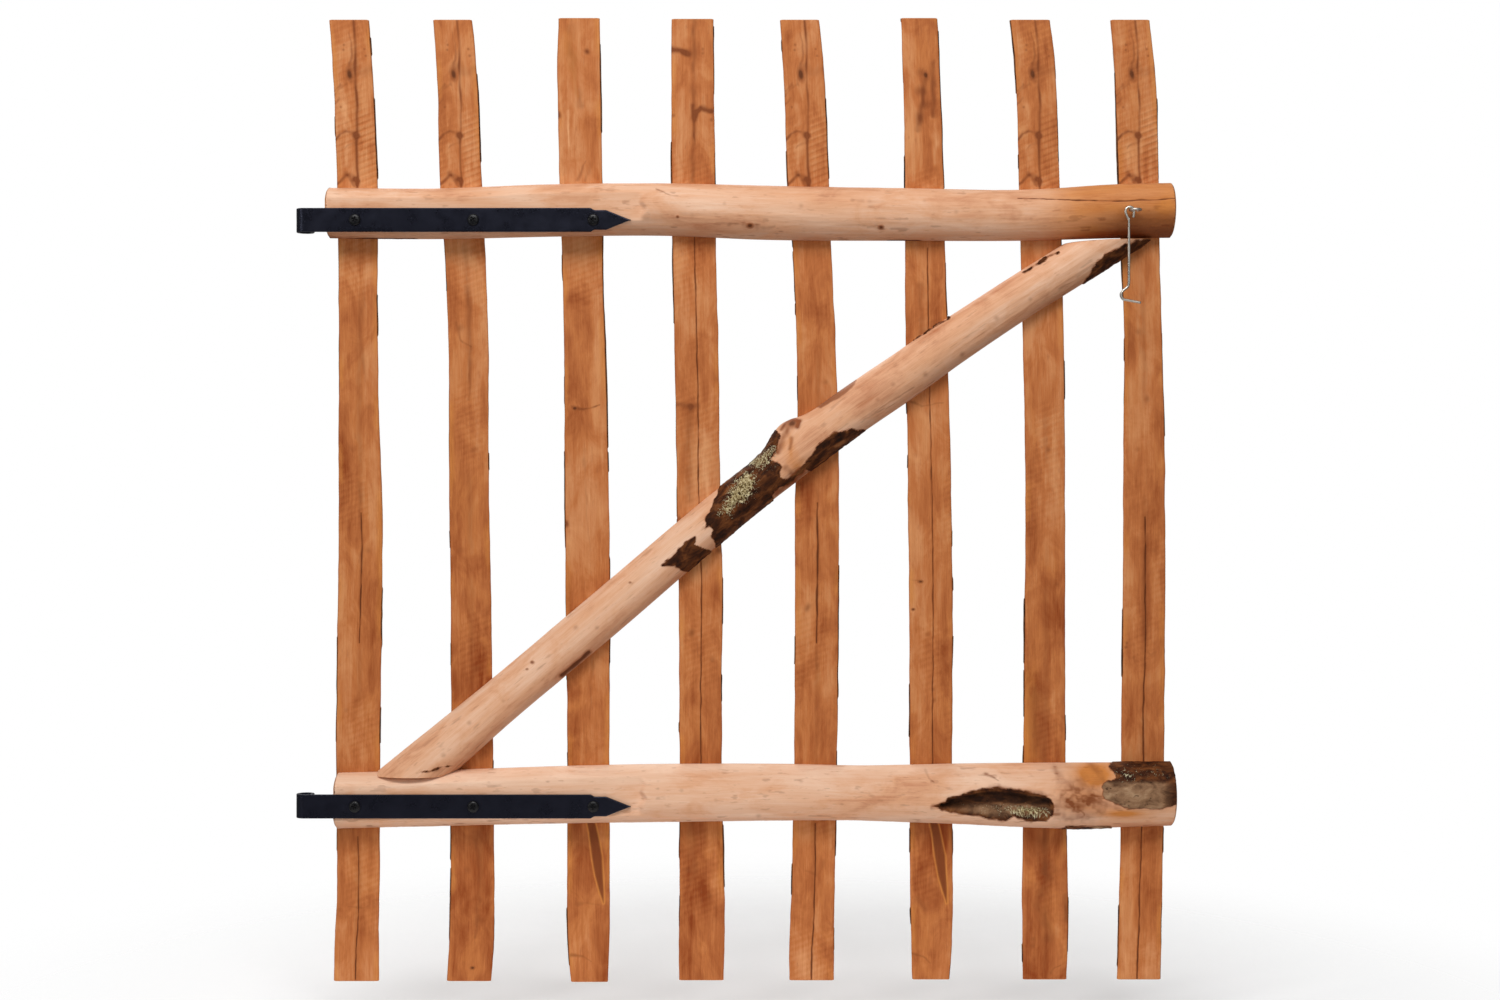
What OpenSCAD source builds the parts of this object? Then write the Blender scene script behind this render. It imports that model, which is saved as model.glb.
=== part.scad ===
// Rustic hazel garden gate: one leaf of eight half-round slats, two half-round rails and a
// half-round brace, with two black strap hinges on the left and a wire cabin hook on the right.
// Poles are sawn lengthwise: slats turn their flat face to the front (-Y), rails and brace their
// round face. +Z is up, and the origin is the middle of the lower hinge's eye, on the gate pin's axis.

/* [Slats] */
// Length of a slat
slat_length = 1143; // [1120:1:1170]
// Depth of a 50 mm wide slat, from its sawn face to the crown of its round back
slat_depth = 23; // [20:1:26]

/* [Rails and brace] */
// Radius of the two rails, before their natural taper
rail_radius = 33; // [32:0.5:35]
// Radius of the brace, before its natural taper
brace_radius = 27; // [25:0.5:28]
// Distance from the slats' sawn faces to the seats planed on the rails for the straps
strap_seat = 26; // [25:0.5:27]

/* [Strap hinges] */
// Distance from the pin's axis to the strap's point
strap_length = 384; // [370:1:400]
// Width of the strap, which is also the height of its eye
strap_width = 28; // [25:1:30]
// Thickness of the strap
strap_thickness = 4; // [3:0.5:5]
// Bore of the rolled eye, for a gate pin
eye_bore = 13; // [11:0.5:15]

/* [Screws] */
// Shank of the pan-head screws that hold the straps
strap_screw_d = 5; // [4:0.5:6]
// Length of those screws under the head
strap_screw_length = 28; // [22:1:29]
// Shank of the countersunk screws that hold the slats
slat_screw_d = 4.5; // [3.5:0.5:5]
// Length of those screws, head included
slat_screw_length = 40; // [36:1:42]

/* [Cabin hook] */
// Wire of the hook and of its screw eye
wire_d = 3; // [2.5:0.25:3]
// Distance from the middle of the hook's loop to the bottom of its crook
hook_length = 107; // [95:1:125]

/* [Hidden] */
SLATS = 8;

slat_colour = [0.76, 0.47, 0.28];
rail_colour = [0.88, 0.65, 0.48];
black_paint = [0.06, 0.06, 0.09];
zinc = [0.74, 0.72, 0.68];

// The leaf is drawn about its own middle, with the sawn faces of the slats in the plane y = 0.
// Every list below gives sizes there.

// Each slat: [height, middle of its width, width] at the places where the pole bends or swells.
slat_shapes = [
    [[-572, -468, 54], [-530, -468, 53], [-490, -466, 50], [-300, -466, 52], [-20, -463, 52],
     [90, -465, 48], [240, -466, 46], [380, -467, 48], [500, -472, 47], [571, -477, 47]],
    [[-572, -334, 53], [-510, -330, 54], [-480, -330, 52], [-200, -331, 49], [20, -334, 47],
     [240, -336, 48], [380, -344, 49], [500, -348, 48], [571, -354, 46]],
    [[-573, -191, 44], [-520, -192, 50], [-310, -192, 50], [-90, -193, 53], [90, -195, 51],
     [240, -198, 48], [380, -201, 51], [540, -204, 51], [573, -203, 49]],
    [[-571, -58, 53], [-500, -57, 54], [-390, -58, 51], [-170, -59, 51], [-100, -58, 53],
     [-60, -60, 52], [140, -63, 52], [300, -66, 52], [460, -68, 51], [572, -68, 50]],
    [[-571, 73, 53], [-530, 73, 53], [-470, 75, 51], [-300, 78, 51], [0, 80, 52],
     [140, 80, 47], [300, 74, 46], [380, 69, 49], [510, 64, 48], [571, 59, 46]],
    [[-570, 215, 44], [-500, 216, 50], [-300, 215, 50], [-120, 215, 52], [50, 213, 51],
     [240, 209, 49], [380, 207, 46], [500, 204, 44], [573, 201, 43]],
    [[-570, 350, 52], [-500, 351, 55], [-300, 350, 50], [50, 351, 47], [220, 348, 49],
     [410, 343, 48], [520, 339, 48], [571, 333, 47]],
    [[-570, 462, 52], [-490, 464, 51], [-300, 467, 51], [50, 469, 49], [200, 467, 45],
     [300, 464, 46], [430, 461, 49], [520, 457, 48], [571, 452, 46]]
];
shape_length = 1143;

// Each rail: [place along it, height of its middle, change of its radius].
top_rail_shape = [[-500, 341, -3], [-370, 340, -3], [-230, 344, -2], [-100, 345, -2],
                  [20, 341, -1], [200, 339, -2], [320, 338, -3], [430, 343, -1], [500, 344, -0.5]];
bottom_rail_shape = [[-490, -357, 0], [-370, -354, 0], [-220, -350, 1], [-100, -348, 1.5],
                     [50, -347, 0.5], [130, -348, -0.5], [250, -349, 3], [370, -351, 6],
                     [500, -349, 4.5]];

// The brace: [place across the leaf, height of its middle, change of its radius].
brace_shape = [[-440, -360, 4], [-394, -322, 3.5], [-300, -242, 0], [-168, -131, 0],
               [-42, -23, -1], [19, 26, -1.5], [105, 94, 1], [185, 149, 1], [236, 185, 0],
               [322, 242, -1], [372, 273, -1], [427, 308, -1], [510, 361, -1]];
brace_foot_z = -327;
cope_gap = 0.6;
brace_head = [427, 307];
brace_head_rise = 0.044;
scar_x = 60;
scar_height = 12;
scar_half_length = 20;

// Bark pocket grown into the bottom rail's face
hollow_middle = [286, -361];
hollow_length = 142;
hollow_radius = 18;
hollow_depth = 8;

// Heights where the slats are screwed to the rails, clear of the strap screws
top_screw_z = 353;
bottom_screw_z = -341;
// Slats that the brace crosses
braced_slats = [1, 2, 3, 4, 5, 6];

pin_x = -524;
upper_strap_z = 329;
lower_strap_z = -360;
eye_radius = eye_bore / 2 + strap_thickness;
strap_front = strap_seat + strap_thickness;
pin_y = eye_radius - strap_front;
// Angle left open between the end of the roll and the back of the strap
roll_slit = 55;
// Places of the strap's screws, from the pin's axis
strap_screw_x = [60, 199, 340];
seat_end_x = pin_x + strap_length + 10;
// The straps' spear point: where it starts, where its shoulder is, and the shoulder's share of the width
spear_length = 48;
shoulder_start = 42;
shoulder_end = 29;
shoulder_share = 0.83;

pan_head_r = 6.8;
pan_head_height = 3.4;
pilot_gap = 0.05;
strap_hole_gap = 0.4;
slat_head_r = 4.6;
slat_head_sink = 1.2;
screw_tip = 7;

ring_radius = 6.5;
ring_middle = [450, -42, 339];
ring_shank_end = -12;
// The loop hangs on the ring's left side, so its middle is a little below the ring
loop_radius = 5;
loop_drop = loop_radius - wire_d - 0.4;
loop_middle = [ring_middle[0] - ring_radius, ring_middle[1], ring_middle[2] - loop_drop];

slat_steps = 24;
rail_steps = 32;
brace_steps = 36;

// Slope of column k at station i of a list of stations
function slope(s, i, k) =
    let (a = s[max(i - 1, 0)], b = s[min(i + 1, len(s) - 1)])
    (b[k] - a[k]) / (b[0] - a[0]);

// Column k of a list of stations at place u, on the smooth curve through every station
function smooth(s, u, k, i = 0) =
    i < len(s) - 2 && u > s[i + 1][0] ? smooth(s, u, k, i + 1) :
    let (span = s[i + 1][0] - s[i][0], t = (u - s[i][0]) / span)
    (2 * t * t * t - 3 * t * t + 1) * s[i][k] +
    (t * t * t - 2 * t * t + t) * slope(s, i, k) * span +
    (3 * t * t - 2 * t * t * t) * s[i + 1][k] +
    (t * t * t - t * t) * slope(s, i + 1, k) * span;

// Points on the smooth curve through a list of points, n to a span
function along(p, n) = [
    for (i = [0 : len(p) - 2], j = [0 : (i == len(p) - 2 ? n : n - 1)])
        let (t = j / n, a = p[max(i - 1, 0)], b = p[i], c = p[i + 1], d = p[min(i + 2, len(p) - 1)])
        (2 * b + (c - a) * t + (2 * a - 5 * b + 4 * c - d) * t * t +
         (3 * b - a - 3 * c + d) * t * t * t) / 2
];

// Closed solid through a list of rings that all have the same even number of points.
// Its ends are closed by strips from side to side, so an end may curve from front to back.
module loft(rings) {
    n = len(rings[0]);
    far = (len(rings) - 1) * n;
    sides = [for (i = [0 : len(rings) - 2], j = [0 : n - 1])
        let (a = i * n + j, b = i * n + (j + 1) % n) each [[a, b + n, b], [a, a + n, b + n]]];
    first_end = [for (j = [0 : n / 2 - 2]) [j, j + 1, n - 2 - j, n - 1 - j]];
    last_end = [for (j = [0 : n / 2 - 2]) [far + n - 1 - j, far + n - 2 - j, far + j + 1, far + j]];
    polyhedron([for (r = rings) each r], concat(first_end, last_end, sides));
}

// Half-round section: [share of the half width, share of the depth] from edge to edge
function half_round(points) =
    [for (k = [0 : points - 1]) [cos(180 * k / (points - 1)), sin(180 * k / (points - 1))]];

// Round wire along points [x, z] in the plane y = 0
module wire(points, d) {
    last = len(points) - 1;
    loft([for (i = [0 : last])
        let (ahead = points[min(i + 1, last)] - points[max(i - 1, 0)],
             side = [ahead[1], -ahead[0]] / norm(ahead))
        [for (t = [0 : 36 : 324])
            [points[i][0] + side[0] * cos(t) * d / 2, sin(t) * d / 2,
             points[i][1] + side[1] * cos(t) * d / 2]]]);
}

// From the leaf's own middle to the pin's axis at the lower hinge
module on_pin() {
    translate([-pin_x, -pin_y, -lower_strap_z]) children();
}

function slat_x(i, z) = smooth(slat_shapes[i], z * shape_length / slat_length, 1);
function slat_width(i, z) = smooth(slat_shapes[i], z * shape_length / slat_length, 2);
function slat_crown(i, z) = slat_depth * slat_width(i, z) / 50;
function brace_z(x) = smooth(brace_shape, x, 1);
function bottom_rail_z(x) = smooth(bottom_rail_shape, x, 1);

// Places [slat, height] of the screws through the slats
top_screws = [for (i = [0 : SLATS - 1]) [i, top_screw_z]];
bottom_screws = [for (i = [0 : SLATS - 1]) [i, bottom_screw_z]];
brace_screws = [for (i = braced_slats) [i, brace_crossing(i)]];

// Height where the brace's middle crosses a slat's middle
function brace_crossing(i, z = 0, tries = 8) =
    tries == 0 ? z : brace_crossing(i, brace_z(slat_x(i, z)), tries - 1);

// Side view of a countersunk screw, head up at y = 0 and point down, or of its hole
function countersunk_side(gap, above) = [
    [0, above], [slat_head_r + gap, above], [slat_head_r + gap, -0.5],
    [slat_screw_d / 2 + gap, -0.5 - slat_head_r + slat_screw_d / 2],
    [slat_screw_d / 2 + gap, screw_tip - slat_screw_length], [0, -slat_screw_length - gap]
];

// Something drawn along Z, placed in the back of the slats at [slat, height] with its top
// towards the back
module in_slat_backs(places) {
    for (p = places)
        translate([slat_x(p[0], p[1]), slat_crown(p[0], p[1]) - slat_head_sink, p[1]])
            rotate([-90, 0, 0]) children();
}

module slat_screws(places) {
    in_slat_backs(places) difference() {
        rotate_extrude($fn = 32) polygon(countersunk_side(0, 0));
        cross_recess(slat_head_r * 1.2, 2);
    }
}

module slat_screw_holes(places) {
    in_slat_backs(places) rotate_extrude($fn = 32) polygon(countersunk_side(pilot_gap, 8));
}

module cross_recess(width, depth) {
    for (turn = [0, 90])
        rotate([0, 0, turn]) cube([width, 1.2, depth * 2], center = true);
}

// Side view of a pan-head screw, seat of its head at y = 0 and point down
pan_head_side = concat(
    [for (t = [0 : 15 : 75]) [pan_head_r * sin(t), 0.8 + (pan_head_height - 0.8) * cos(t)]],
    [[pan_head_r, 0.8], [pan_head_r, 0], [strap_screw_d / 2, 0],
     [strap_screw_d / 2, screw_tip - strap_screw_length], [0, -strap_screw_length]]);

module strap_screw(strap_z, i) {
    translate([pin_x + strap_screw_x[i], -strap_front, strap_z])
        rotate([90, 0, 0]) rotate([0, 0, 20 + 35 * i]) difference() {
            rotate_extrude($fn = 32) polygon(pan_head_side);
            translate([0, 0, pan_head_height]) cross_recess(pan_head_r, 1.8);
        }
}

// Pilot holes in the rail for one strap's screws
module strap_pilots(strap_z) {
    for (x = strap_screw_x)
        translate([pin_x + x, -strap_front, strap_z]) rotate([-90, 0, 0])
            cylinder(h = strap_screw_length + pilot_gap, d = strap_screw_d + 2 * pilot_gap, $fn = 32);
}

module slat(i) {
    stretch = slat_length / shape_length;
    bottom = slat_shapes[i][0][0] * stretch;
    top = slat_shapes[i][len(slat_shapes[i]) - 1][0] * stretch;
    color(slat_colour) on_pin() difference() {
        loft([for (s = [0 : slat_steps])
            let (z = bottom + (top - bottom) * s / slat_steps)
            [for (p = half_round(10))
                [slat_x(i, z) + slat_width(i, z) / 2 * p[0], slat_crown(i, z) * p[1], z]]]);
        slat_screw_holes([for (p = concat(top_screws, bottom_screws, brace_screws))
            if (p[0] == i) p]);
    }
}

// Half-round pole lying along X, flat side in the plane y = 0
module rail_pole(shape) {
    first = shape[0][0];
    last = shape[len(shape) - 1][0];
    loft([for (s = [0 : rail_steps])
        let (x = first + (last - first) * s / rail_steps,
             r = rail_radius + smooth(shape, x, 2), z = smooth(shape, x, 1))
        [for (p = half_round(18)) [x, -r * p[1], z + r * p[0]]]]);
}

// What is planed off a rail's round face, so that a strap lies flat on it
module strap_seat_cut() {
    translate([pin_x, -strap_seat - 30, -60])
        cube([seat_end_x - pin_x, 30, 120]);
}

module top_rail() {
    color(rail_colour) on_pin() difference() {
        rail_pole(top_rail_shape);
        translate([0, 0, upper_strap_z]) strap_seat_cut();
        strap_pilots(upper_strap_z);
        slat_screw_holes(top_screws);
        screw_eye_pilot();
    }
}

module bottom_rail() {
    color(rail_colour) on_pin() difference() {
        rail_pole(bottom_rail_shape);
        translate([0, 0, lower_strap_z]) strap_seat_cut();
        strap_pilots(lower_strap_z);
        slat_screw_holes(bottom_screws);
        bark_hollow();
    }
}

// Long spindle whose near side is the floor of the pocket in the bottom rail
module bark_hollow() {
    surface_y = -(rail_radius + smooth(bottom_rail_shape, hollow_middle[0], 2));
    translate([hollow_middle[0], surface_y + hollow_depth - hollow_radius, hollow_middle[1]])
        rotate([0, 90, 0]) rotate_extrude($fn = 48)
            polygon(concat([[0, -hollow_length / 2]],
                [for (t = [-70 : 20 : 70]) [hollow_radius * cos(t), hollow_length / 2 * sin(t)]],
                [[0, hollow_length / 2]]));
}

// Height of the branch scar's swelling on the brace's upper edge
function scar(x) = scar_height * exp(-pow((x - scar_x) / scar_half_length, 2));

// Point of the brace's surface where its section at place x has the half-round's point p
function brace_point(x, p) =
    let (r = brace_radius + smooth(brace_shape, x, 2),
         lean = atan(brace_z(x + 1) / 2 - brace_z(x - 1) / 2),
         up = (r + scar(x) * pow(max(0, p[0]), 3)) * p[0])
    [x - up * sin(lean), -r * p[1], brace_z(x) + up * cos(lean)];

// Underside of the brace's foot at place x and depth y: sawn level, and coped over the round of
// the bottom rail
function foot_z(x, y) =
    let (r = rail_radius + cope_gap)
    max(brace_foot_z, y > -r ? bottom_rail_z(x) + sqrt(r * r - y * y) : brace_foot_z);

// Place of the section whose point p lies on the foot's underside
function foot_place(p, x = -400, tries = 12) =
    let (q = brace_point(x, p))
    tries == 0 ? x : foot_place(p, x + foot_z(q[0], q[1]) - q[2], tries - 1);

// Place of the section whose point p lies on the head's sawn face, a little below the top rail
function head_place(p, x = 420, tries = 20) =
    let (q = brace_point(x, p), face_z = brace_head[1] + (q[0] - brace_head[0]) * brace_head_rise)
    tries == 0 ? x : head_place(p, x + face_z - q[2], tries - 1);

module brace() {
    section = half_round(16);
    starts = [for (p = section) foot_place(p)];
    ends = [for (p = section) head_place(p)];
    color(rail_colour) on_pin() difference() {
        loft([for (s = [0 : brace_steps])
            [for (j = [0 : len(section) - 1])
                brace_point(starts[j] + (ends[j] - starts[j]) * s / brace_steps, section[j])]]);
        slat_screw_holes(brace_screws);
    }
}

// Edge of the strap's upper half, from the pin's axis to its point
strap_edge = concat(
    [[0, strap_width / 2]],
    [for (t = [0 : 45 : 180])
        [strap_length - spear_length + (spear_length - shoulder_start) * t / 180,
         strap_width / 2 * (1 - (1 - shoulder_share) * (1 - cos(t)) / 2)]],
    [[strap_length - shoulder_end, strap_width / 2 * shoulder_share], [strap_length, 0]]);

module strap_hinge(strap_z) {
    lower_edge = [for (i = [len(strap_edge) - 2 : -1 : 0]) [strap_edge[i][0], -strap_edge[i][1]]];
    color(black_paint) on_pin() translate([pin_x, pin_y, strap_z]) difference() {
        union() {
            mirror([1, 0, 0]) rotate([0, 0, -90]) rotate_extrude(angle = 360 - roll_slit, $fn = 64)
                translate([eye_bore / 2, -strap_width / 2]) square([strap_thickness, strap_width]);
            translate([0, -eye_bore / 2, 0]) rotate([90, 0, 0])
                linear_extrude(strap_thickness) polygon(concat(strap_edge, lower_edge));
        }
        for (x = strap_screw_x)
            translate([x, 0, 0]) rotate([90, 0, 0])
                cylinder(h = eye_radius + 1, d = strap_screw_d + strap_hole_gap, $fn = 32);
    }
}

module screw_eye() {
    color(zinc) on_pin() translate(ring_middle) {
        rotate_extrude($fn = 48) translate([ring_radius, 0]) circle(d = wire_d, $fn = 24);
        translate([0, ring_radius, 0]) rotate([-90, 0, 0])
            cylinder(h = ring_shank_end - ring_middle[1] - ring_radius, d = wire_d + 0.2, $fn = 24);
    }
}

module screw_eye_pilot() {
    translate([ring_middle[0], ring_middle[1] + ring_radius, ring_middle[2]]) rotate([-90, 0, 0])
        cylinder(h = ring_shank_end - ring_middle[1] - ring_radius + pilot_gap,
                 d = wire_d + 0.2 + 2 * pilot_gap, $fn = 24);
}

// The hook's wire: short leg, loop, shank, crook and tip, from the middle of its loop
hook_route = concat(
    [[4.2, -7.6]],
    [for (t = [-15 : 21 : 195]) loop_radius * [cos(t), sin(t)]],
    [[-3.2, -6], [-1.4, -9.4], [-1, -14]],
    [for (p = [[-1, 35], [-1, 24], [-2.5, 18.5], [-7.8, 14], [-10.4, 9.4], [-8, 4.4], [-3, 3],
               [13, 0]]) [p[0], p[1] - hook_length]]);

module latch_hook() {
    color(zinc) on_pin() translate(loop_middle) wire(along(hook_route, 2), wire_d);
}

module upper_strap_screw(i) { color(black_paint) on_pin() strap_screw(upper_strap_z, i); }
module lower_strap_screw(i) { color(black_paint) on_pin() strap_screw(lower_strap_z, i); }
module top_rail_slat_screws() { color(zinc) on_pin() slat_screws(top_screws); }
module bottom_rail_slat_screws() { color(zinc) on_pin() slat_screws(bottom_screws); }
module brace_slat_screws() { color(zinc) on_pin() slat_screws(brace_screws); }

slat(0);  // slat_1
slat(1);  // slat_2
slat(2);  // slat_3
slat(3);  // slat_4
slat(4);  // slat_5
slat(5);  // slat_6
slat(6);  // slat_7
slat(7);  // slat_8
top_rail();
bottom_rail();
brace();
strap_hinge(upper_strap_z);  // upper_strap_hinge
strap_hinge(lower_strap_z);  // lower_strap_hinge
upper_strap_screw(0);  // upper_strap_screw_1
upper_strap_screw(1);  // upper_strap_screw_2
upper_strap_screw(2);  // upper_strap_screw_3
lower_strap_screw(0);  // lower_strap_screw_1
lower_strap_screw(1);  // lower_strap_screw_2
lower_strap_screw(2);  // lower_strap_screw_3
top_rail_slat_screws();
bottom_rail_slat_screws();
brace_slat_screws();
screw_eye();
latch_hook();
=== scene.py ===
"""Looks of the rustic hazel gate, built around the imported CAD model: sawn and peeled poles with their
knots, cracks and bark, black strap hinges, screws and the wire cabin hook."""

import math

import bpy
import numpy as np
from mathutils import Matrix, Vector


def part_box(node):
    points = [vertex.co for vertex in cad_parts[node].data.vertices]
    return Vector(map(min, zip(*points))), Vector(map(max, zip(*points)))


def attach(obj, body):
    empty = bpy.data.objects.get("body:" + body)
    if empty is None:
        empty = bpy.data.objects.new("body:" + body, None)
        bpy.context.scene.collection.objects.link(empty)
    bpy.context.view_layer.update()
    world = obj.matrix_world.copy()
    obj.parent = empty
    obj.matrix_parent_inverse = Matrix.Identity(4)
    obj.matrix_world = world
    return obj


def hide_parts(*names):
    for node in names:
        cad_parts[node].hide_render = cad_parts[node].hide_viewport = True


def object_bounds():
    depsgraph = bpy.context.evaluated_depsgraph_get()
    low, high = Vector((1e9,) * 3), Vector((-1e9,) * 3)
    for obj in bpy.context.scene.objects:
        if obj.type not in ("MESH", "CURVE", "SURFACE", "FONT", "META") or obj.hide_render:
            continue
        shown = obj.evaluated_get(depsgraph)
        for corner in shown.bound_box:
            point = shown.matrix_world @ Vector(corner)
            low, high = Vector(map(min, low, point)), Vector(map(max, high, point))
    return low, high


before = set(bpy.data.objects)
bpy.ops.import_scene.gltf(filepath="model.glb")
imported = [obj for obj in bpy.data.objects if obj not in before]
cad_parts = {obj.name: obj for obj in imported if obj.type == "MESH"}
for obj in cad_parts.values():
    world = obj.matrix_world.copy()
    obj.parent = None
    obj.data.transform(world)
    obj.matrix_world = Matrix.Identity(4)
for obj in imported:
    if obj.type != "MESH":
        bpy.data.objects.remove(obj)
cad_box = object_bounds()

LEAF = "gate_leaf"
HOOK = "cabin_hook"
MM = 0.001

# The leaf's own middle: half way along the top rail, in the plane of the sawn faces, half way up.
# Every size below is in millimetres from there, +X to the latch side, -Y to the front, +Z up.
rail_low, rail_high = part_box("top_rail")
slat_low, slat_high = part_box("slat_3")
MIDDLE = np.array([(rail_low.x + rail_high.x) / 2, rail_high.y, (slat_low.z + slat_high.z) / 2])


def leaf_mm(point):
    return (np.array(point) - MIDDLE) / MM


def box_mm(node):
    """Lowest and highest corner of a CAD node."""
    return [leaf_mm(corner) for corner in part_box(node)]


def vertices_mm(mesh):
    co = np.empty(len(mesh.vertices) * 3)
    mesh.vertices.foreach_get("co", co)
    return leaf_mm(co.reshape(-1, 3))


# ---------------------------------------------------------------- noise and small helpers

def lattice(ix, iy, iz, seed):
    """A fixed value from -1 to 1 for each whole-number point."""
    h = (ix.astype(np.uint32) * np.uint32(73856093)) ^ (iy.astype(np.uint32) * np.uint32(19349663))
    h = h ^ (iz.astype(np.uint32) * np.uint32(83492791)) ^ np.uint32(seed * 40503 + 977)
    h = (h ^ (h >> np.uint32(15))) * np.uint32(2246822519)
    h = (h ^ (h >> np.uint32(13))) * np.uint32(3266489917)
    h = h ^ (h >> np.uint32(16))
    return h.astype(np.float64) / 2147483648.0 - 1.0


def noise(x, y, z, seed=0):
    """Smooth noise from -1 to 1, one bump to a unit."""
    x, y, z = np.broadcast_arrays(x, y, z)
    fx, fy, fz = np.floor(x), np.floor(y), np.floor(z)
    tx, ty, tz = (t * t * (3 - 2 * t) for t in (x - fx, y - fy, z - fz))
    ix, iy, iz = (f.astype(np.int64) for f in (fx, fy, fz))
    total = np.zeros(x.shape)
    for dx in (0, 1):
        for dy in (0, 1):
            for dz in (0, 1):
                weight = (tx if dx else 1 - tx) * (ty if dy else 1 - ty) * (tz if dz else 1 - tz)
                total += weight * lattice(ix + dx, iy + dy, iz + dz, seed)
    return total


def rough(x, y, z, seed=0, octaves=3):
    """Noise with finer noise on top."""
    return sum(noise(x * 2 ** k, y * 2 ** k, z * 2 ** k, seed + 17 * k) / 2 ** k for k in range(octaves))


def step(low, high, v):
    """0 below low, 1 above high, smooth between."""
    t = np.clip((v - low) / (high - low), 0, 1)
    return t * t * (3 - 2 * t)


def bump(v, width):
    return np.exp(-(v / width) ** 2)


def stations(pairs, at):
    """Values between stations (place, value), eased from one to the next."""
    places, values = np.array(pairs, float).T
    k = np.clip(np.searchsorted(places, at) - 1, 0, len(places) - 2)
    share = step(0, 1, (at - places[k]) / (places[k + 1] - places[k]))
    return values[k] + (values[k + 1] - values[k]) * share


# ---------------------------------------------------------------- shapes taken from the frame

def cuts(node, axis, places):
    """Lowest and highest points of a CAD node where it crosses each place along an axis, in mm."""
    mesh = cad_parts[node].data
    co = vertices_mm(mesh)
    ends = np.empty(len(mesh.edges) * 2, int)
    mesh.edges.foreach_get("vertices", ends)
    a, b = co[ends[::2]], co[ends[1::2]]
    low, high = [], []
    for place in places:
        crossing = (a[:, axis] - place) * (b[:, axis] - place) <= 0
        crossing &= a[:, axis] != b[:, axis]
        p, q = a[crossing], b[crossing]
        cut = p + (q - p) * ((place - p[:, axis]) / (q[:, axis] - p[:, axis]))[:, None]
        low.append(cut.min(0))
        high.append(cut.max(0))
    return np.array(low), np.array(high)


def flowing(values, rows, reach):
    """Values spread over many rows and smoothed, so that no facet of the CAD solid shows."""
    at = np.linspace(0, len(values) - 1, rows)
    fine = np.interp(at, np.arange(len(values)), values)
    kernel = bump(np.arange(-3 * reach, 3 * reach + 1), reach)
    kernel /= kernel.sum()
    slope = (fine[1] - fine[0], fine[-1] - fine[-2])
    before = fine[0] - slope[0] * np.arange(3 * reach, 0, -1)
    after = fine[-1] + slope[1] * np.arange(1, 3 * reach + 1)
    return np.convolve(np.concatenate([before, fine, after]), kernel, "valid")


# ---------------------------------------------------------------- meshes

def grid_normals(grid):
    along = np.gradient(grid, axis=0)
    around = np.roll(grid, -1, axis=1) - np.roll(grid, 1, axis=1)
    normal = np.cross(around, along)
    return normal / np.maximum(np.linalg.norm(normal, axis=2, keepdims=True), 1e-9)


def mesh_piece(name, grid, marks, material, body=LEAF):
    """A closed piece from rows of points in mm, each row a ring round it, with marks for its material."""
    rows, cols = grid.shape[:2]
    points = np.concatenate([grid.reshape(-1, 3), grid[:1].mean(1), grid[-1:].mean(1)])
    index = np.arange(rows * cols).reshape(rows, cols)
    here, there = index[:-1], index[1:]
    quads = np.stack([here, np.roll(here, -1, 1), np.roll(there, -1, 1), there], -1).reshape(-1, 4)
    first = np.stack([np.roll(index[0], -1), index[0], np.full(cols, rows * cols)], -1)
    last = np.stack([index[-1], np.roll(index[-1], -1), np.full(cols, rows * cols + 1)], -1)
    triangles = np.concatenate([first, last])
    mesh = bpy.data.meshes.new(name)
    mesh.vertices.add(len(points))
    mesh.vertices.foreach_set("co", (points * MM + MIDDLE).astype(np.float32).ravel())
    mesh.loops.add(quads.size + triangles.size)
    corners = np.concatenate([quads.ravel(), triangles.ravel()])
    mesh.loops.foreach_set("vertex_index", corners.astype(np.int32))
    mesh.polygons.add(len(quads) + len(triangles))
    starts = np.concatenate([np.arange(len(quads)) * 4, quads.size + np.arange(len(triangles)) * 3])
    mesh.polygons.foreach_set("loop_start", starts.astype(np.int32))
    mesh.polygons.foreach_set("use_smooth", np.ones(len(starts), bool))
    mesh.update(calc_edges=True)
    for key, values in marks.items():
        flat = values.reshape(rows * cols, -1)
        flat = np.concatenate([flat, flat[:cols].mean(0)[None], flat[-cols:].mean(0)[None]])
        vector = flat.shape[1] == 3
        layer = mesh.attributes.new(key, "FLOAT_VECTOR" if vector else "FLOAT", "POINT")
        layer.data.foreach_set("vector" if vector else "value", flat.astype(np.float32).ravel())
    mesh.materials.append(material)
    piece = bpy.data.objects.new(name, mesh)
    bpy.context.scene.collection.objects.link(piece)
    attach(piece, body)
    return piece


# Sizes of the rings that close a sawn end, from its heart out
CAP_SHRINK = np.array([0.0, 0.15, 0.35, 0.55, 0.72, 0.85, 0.94, 0.985])
CAPS = len(CAP_SHRINK)


def with_ends(grid, arris):
    """Rows added at both ends, so that a sawn end has a broken edge and a face of its own."""
    def cap(ring, inward):
        heart = ring.mean(0)
        rows = heart + (ring - heart) * CAP_SHRINK[:, None, None]
        back = arris * step(0.94, 1.0, CAP_SHRINK)
        return rows + inward * back[:, None, None]
    first, last = grid[1] - grid[0], grid[-2] - grid[-1]
    unit_first = first.mean(0) / np.linalg.norm(first.mean(0))
    unit_last = last.mean(0) / np.linalg.norm(last.mean(0))
    inner_first = grid[:1] + unit_first * arris
    inner_last = grid[-1:] + unit_last * arris
    return np.concatenate([cap(grid[0], unit_first), inner_first, grid[1:-1], inner_last,
                           cap(grid[-1], unit_last)[::-1]])


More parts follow.
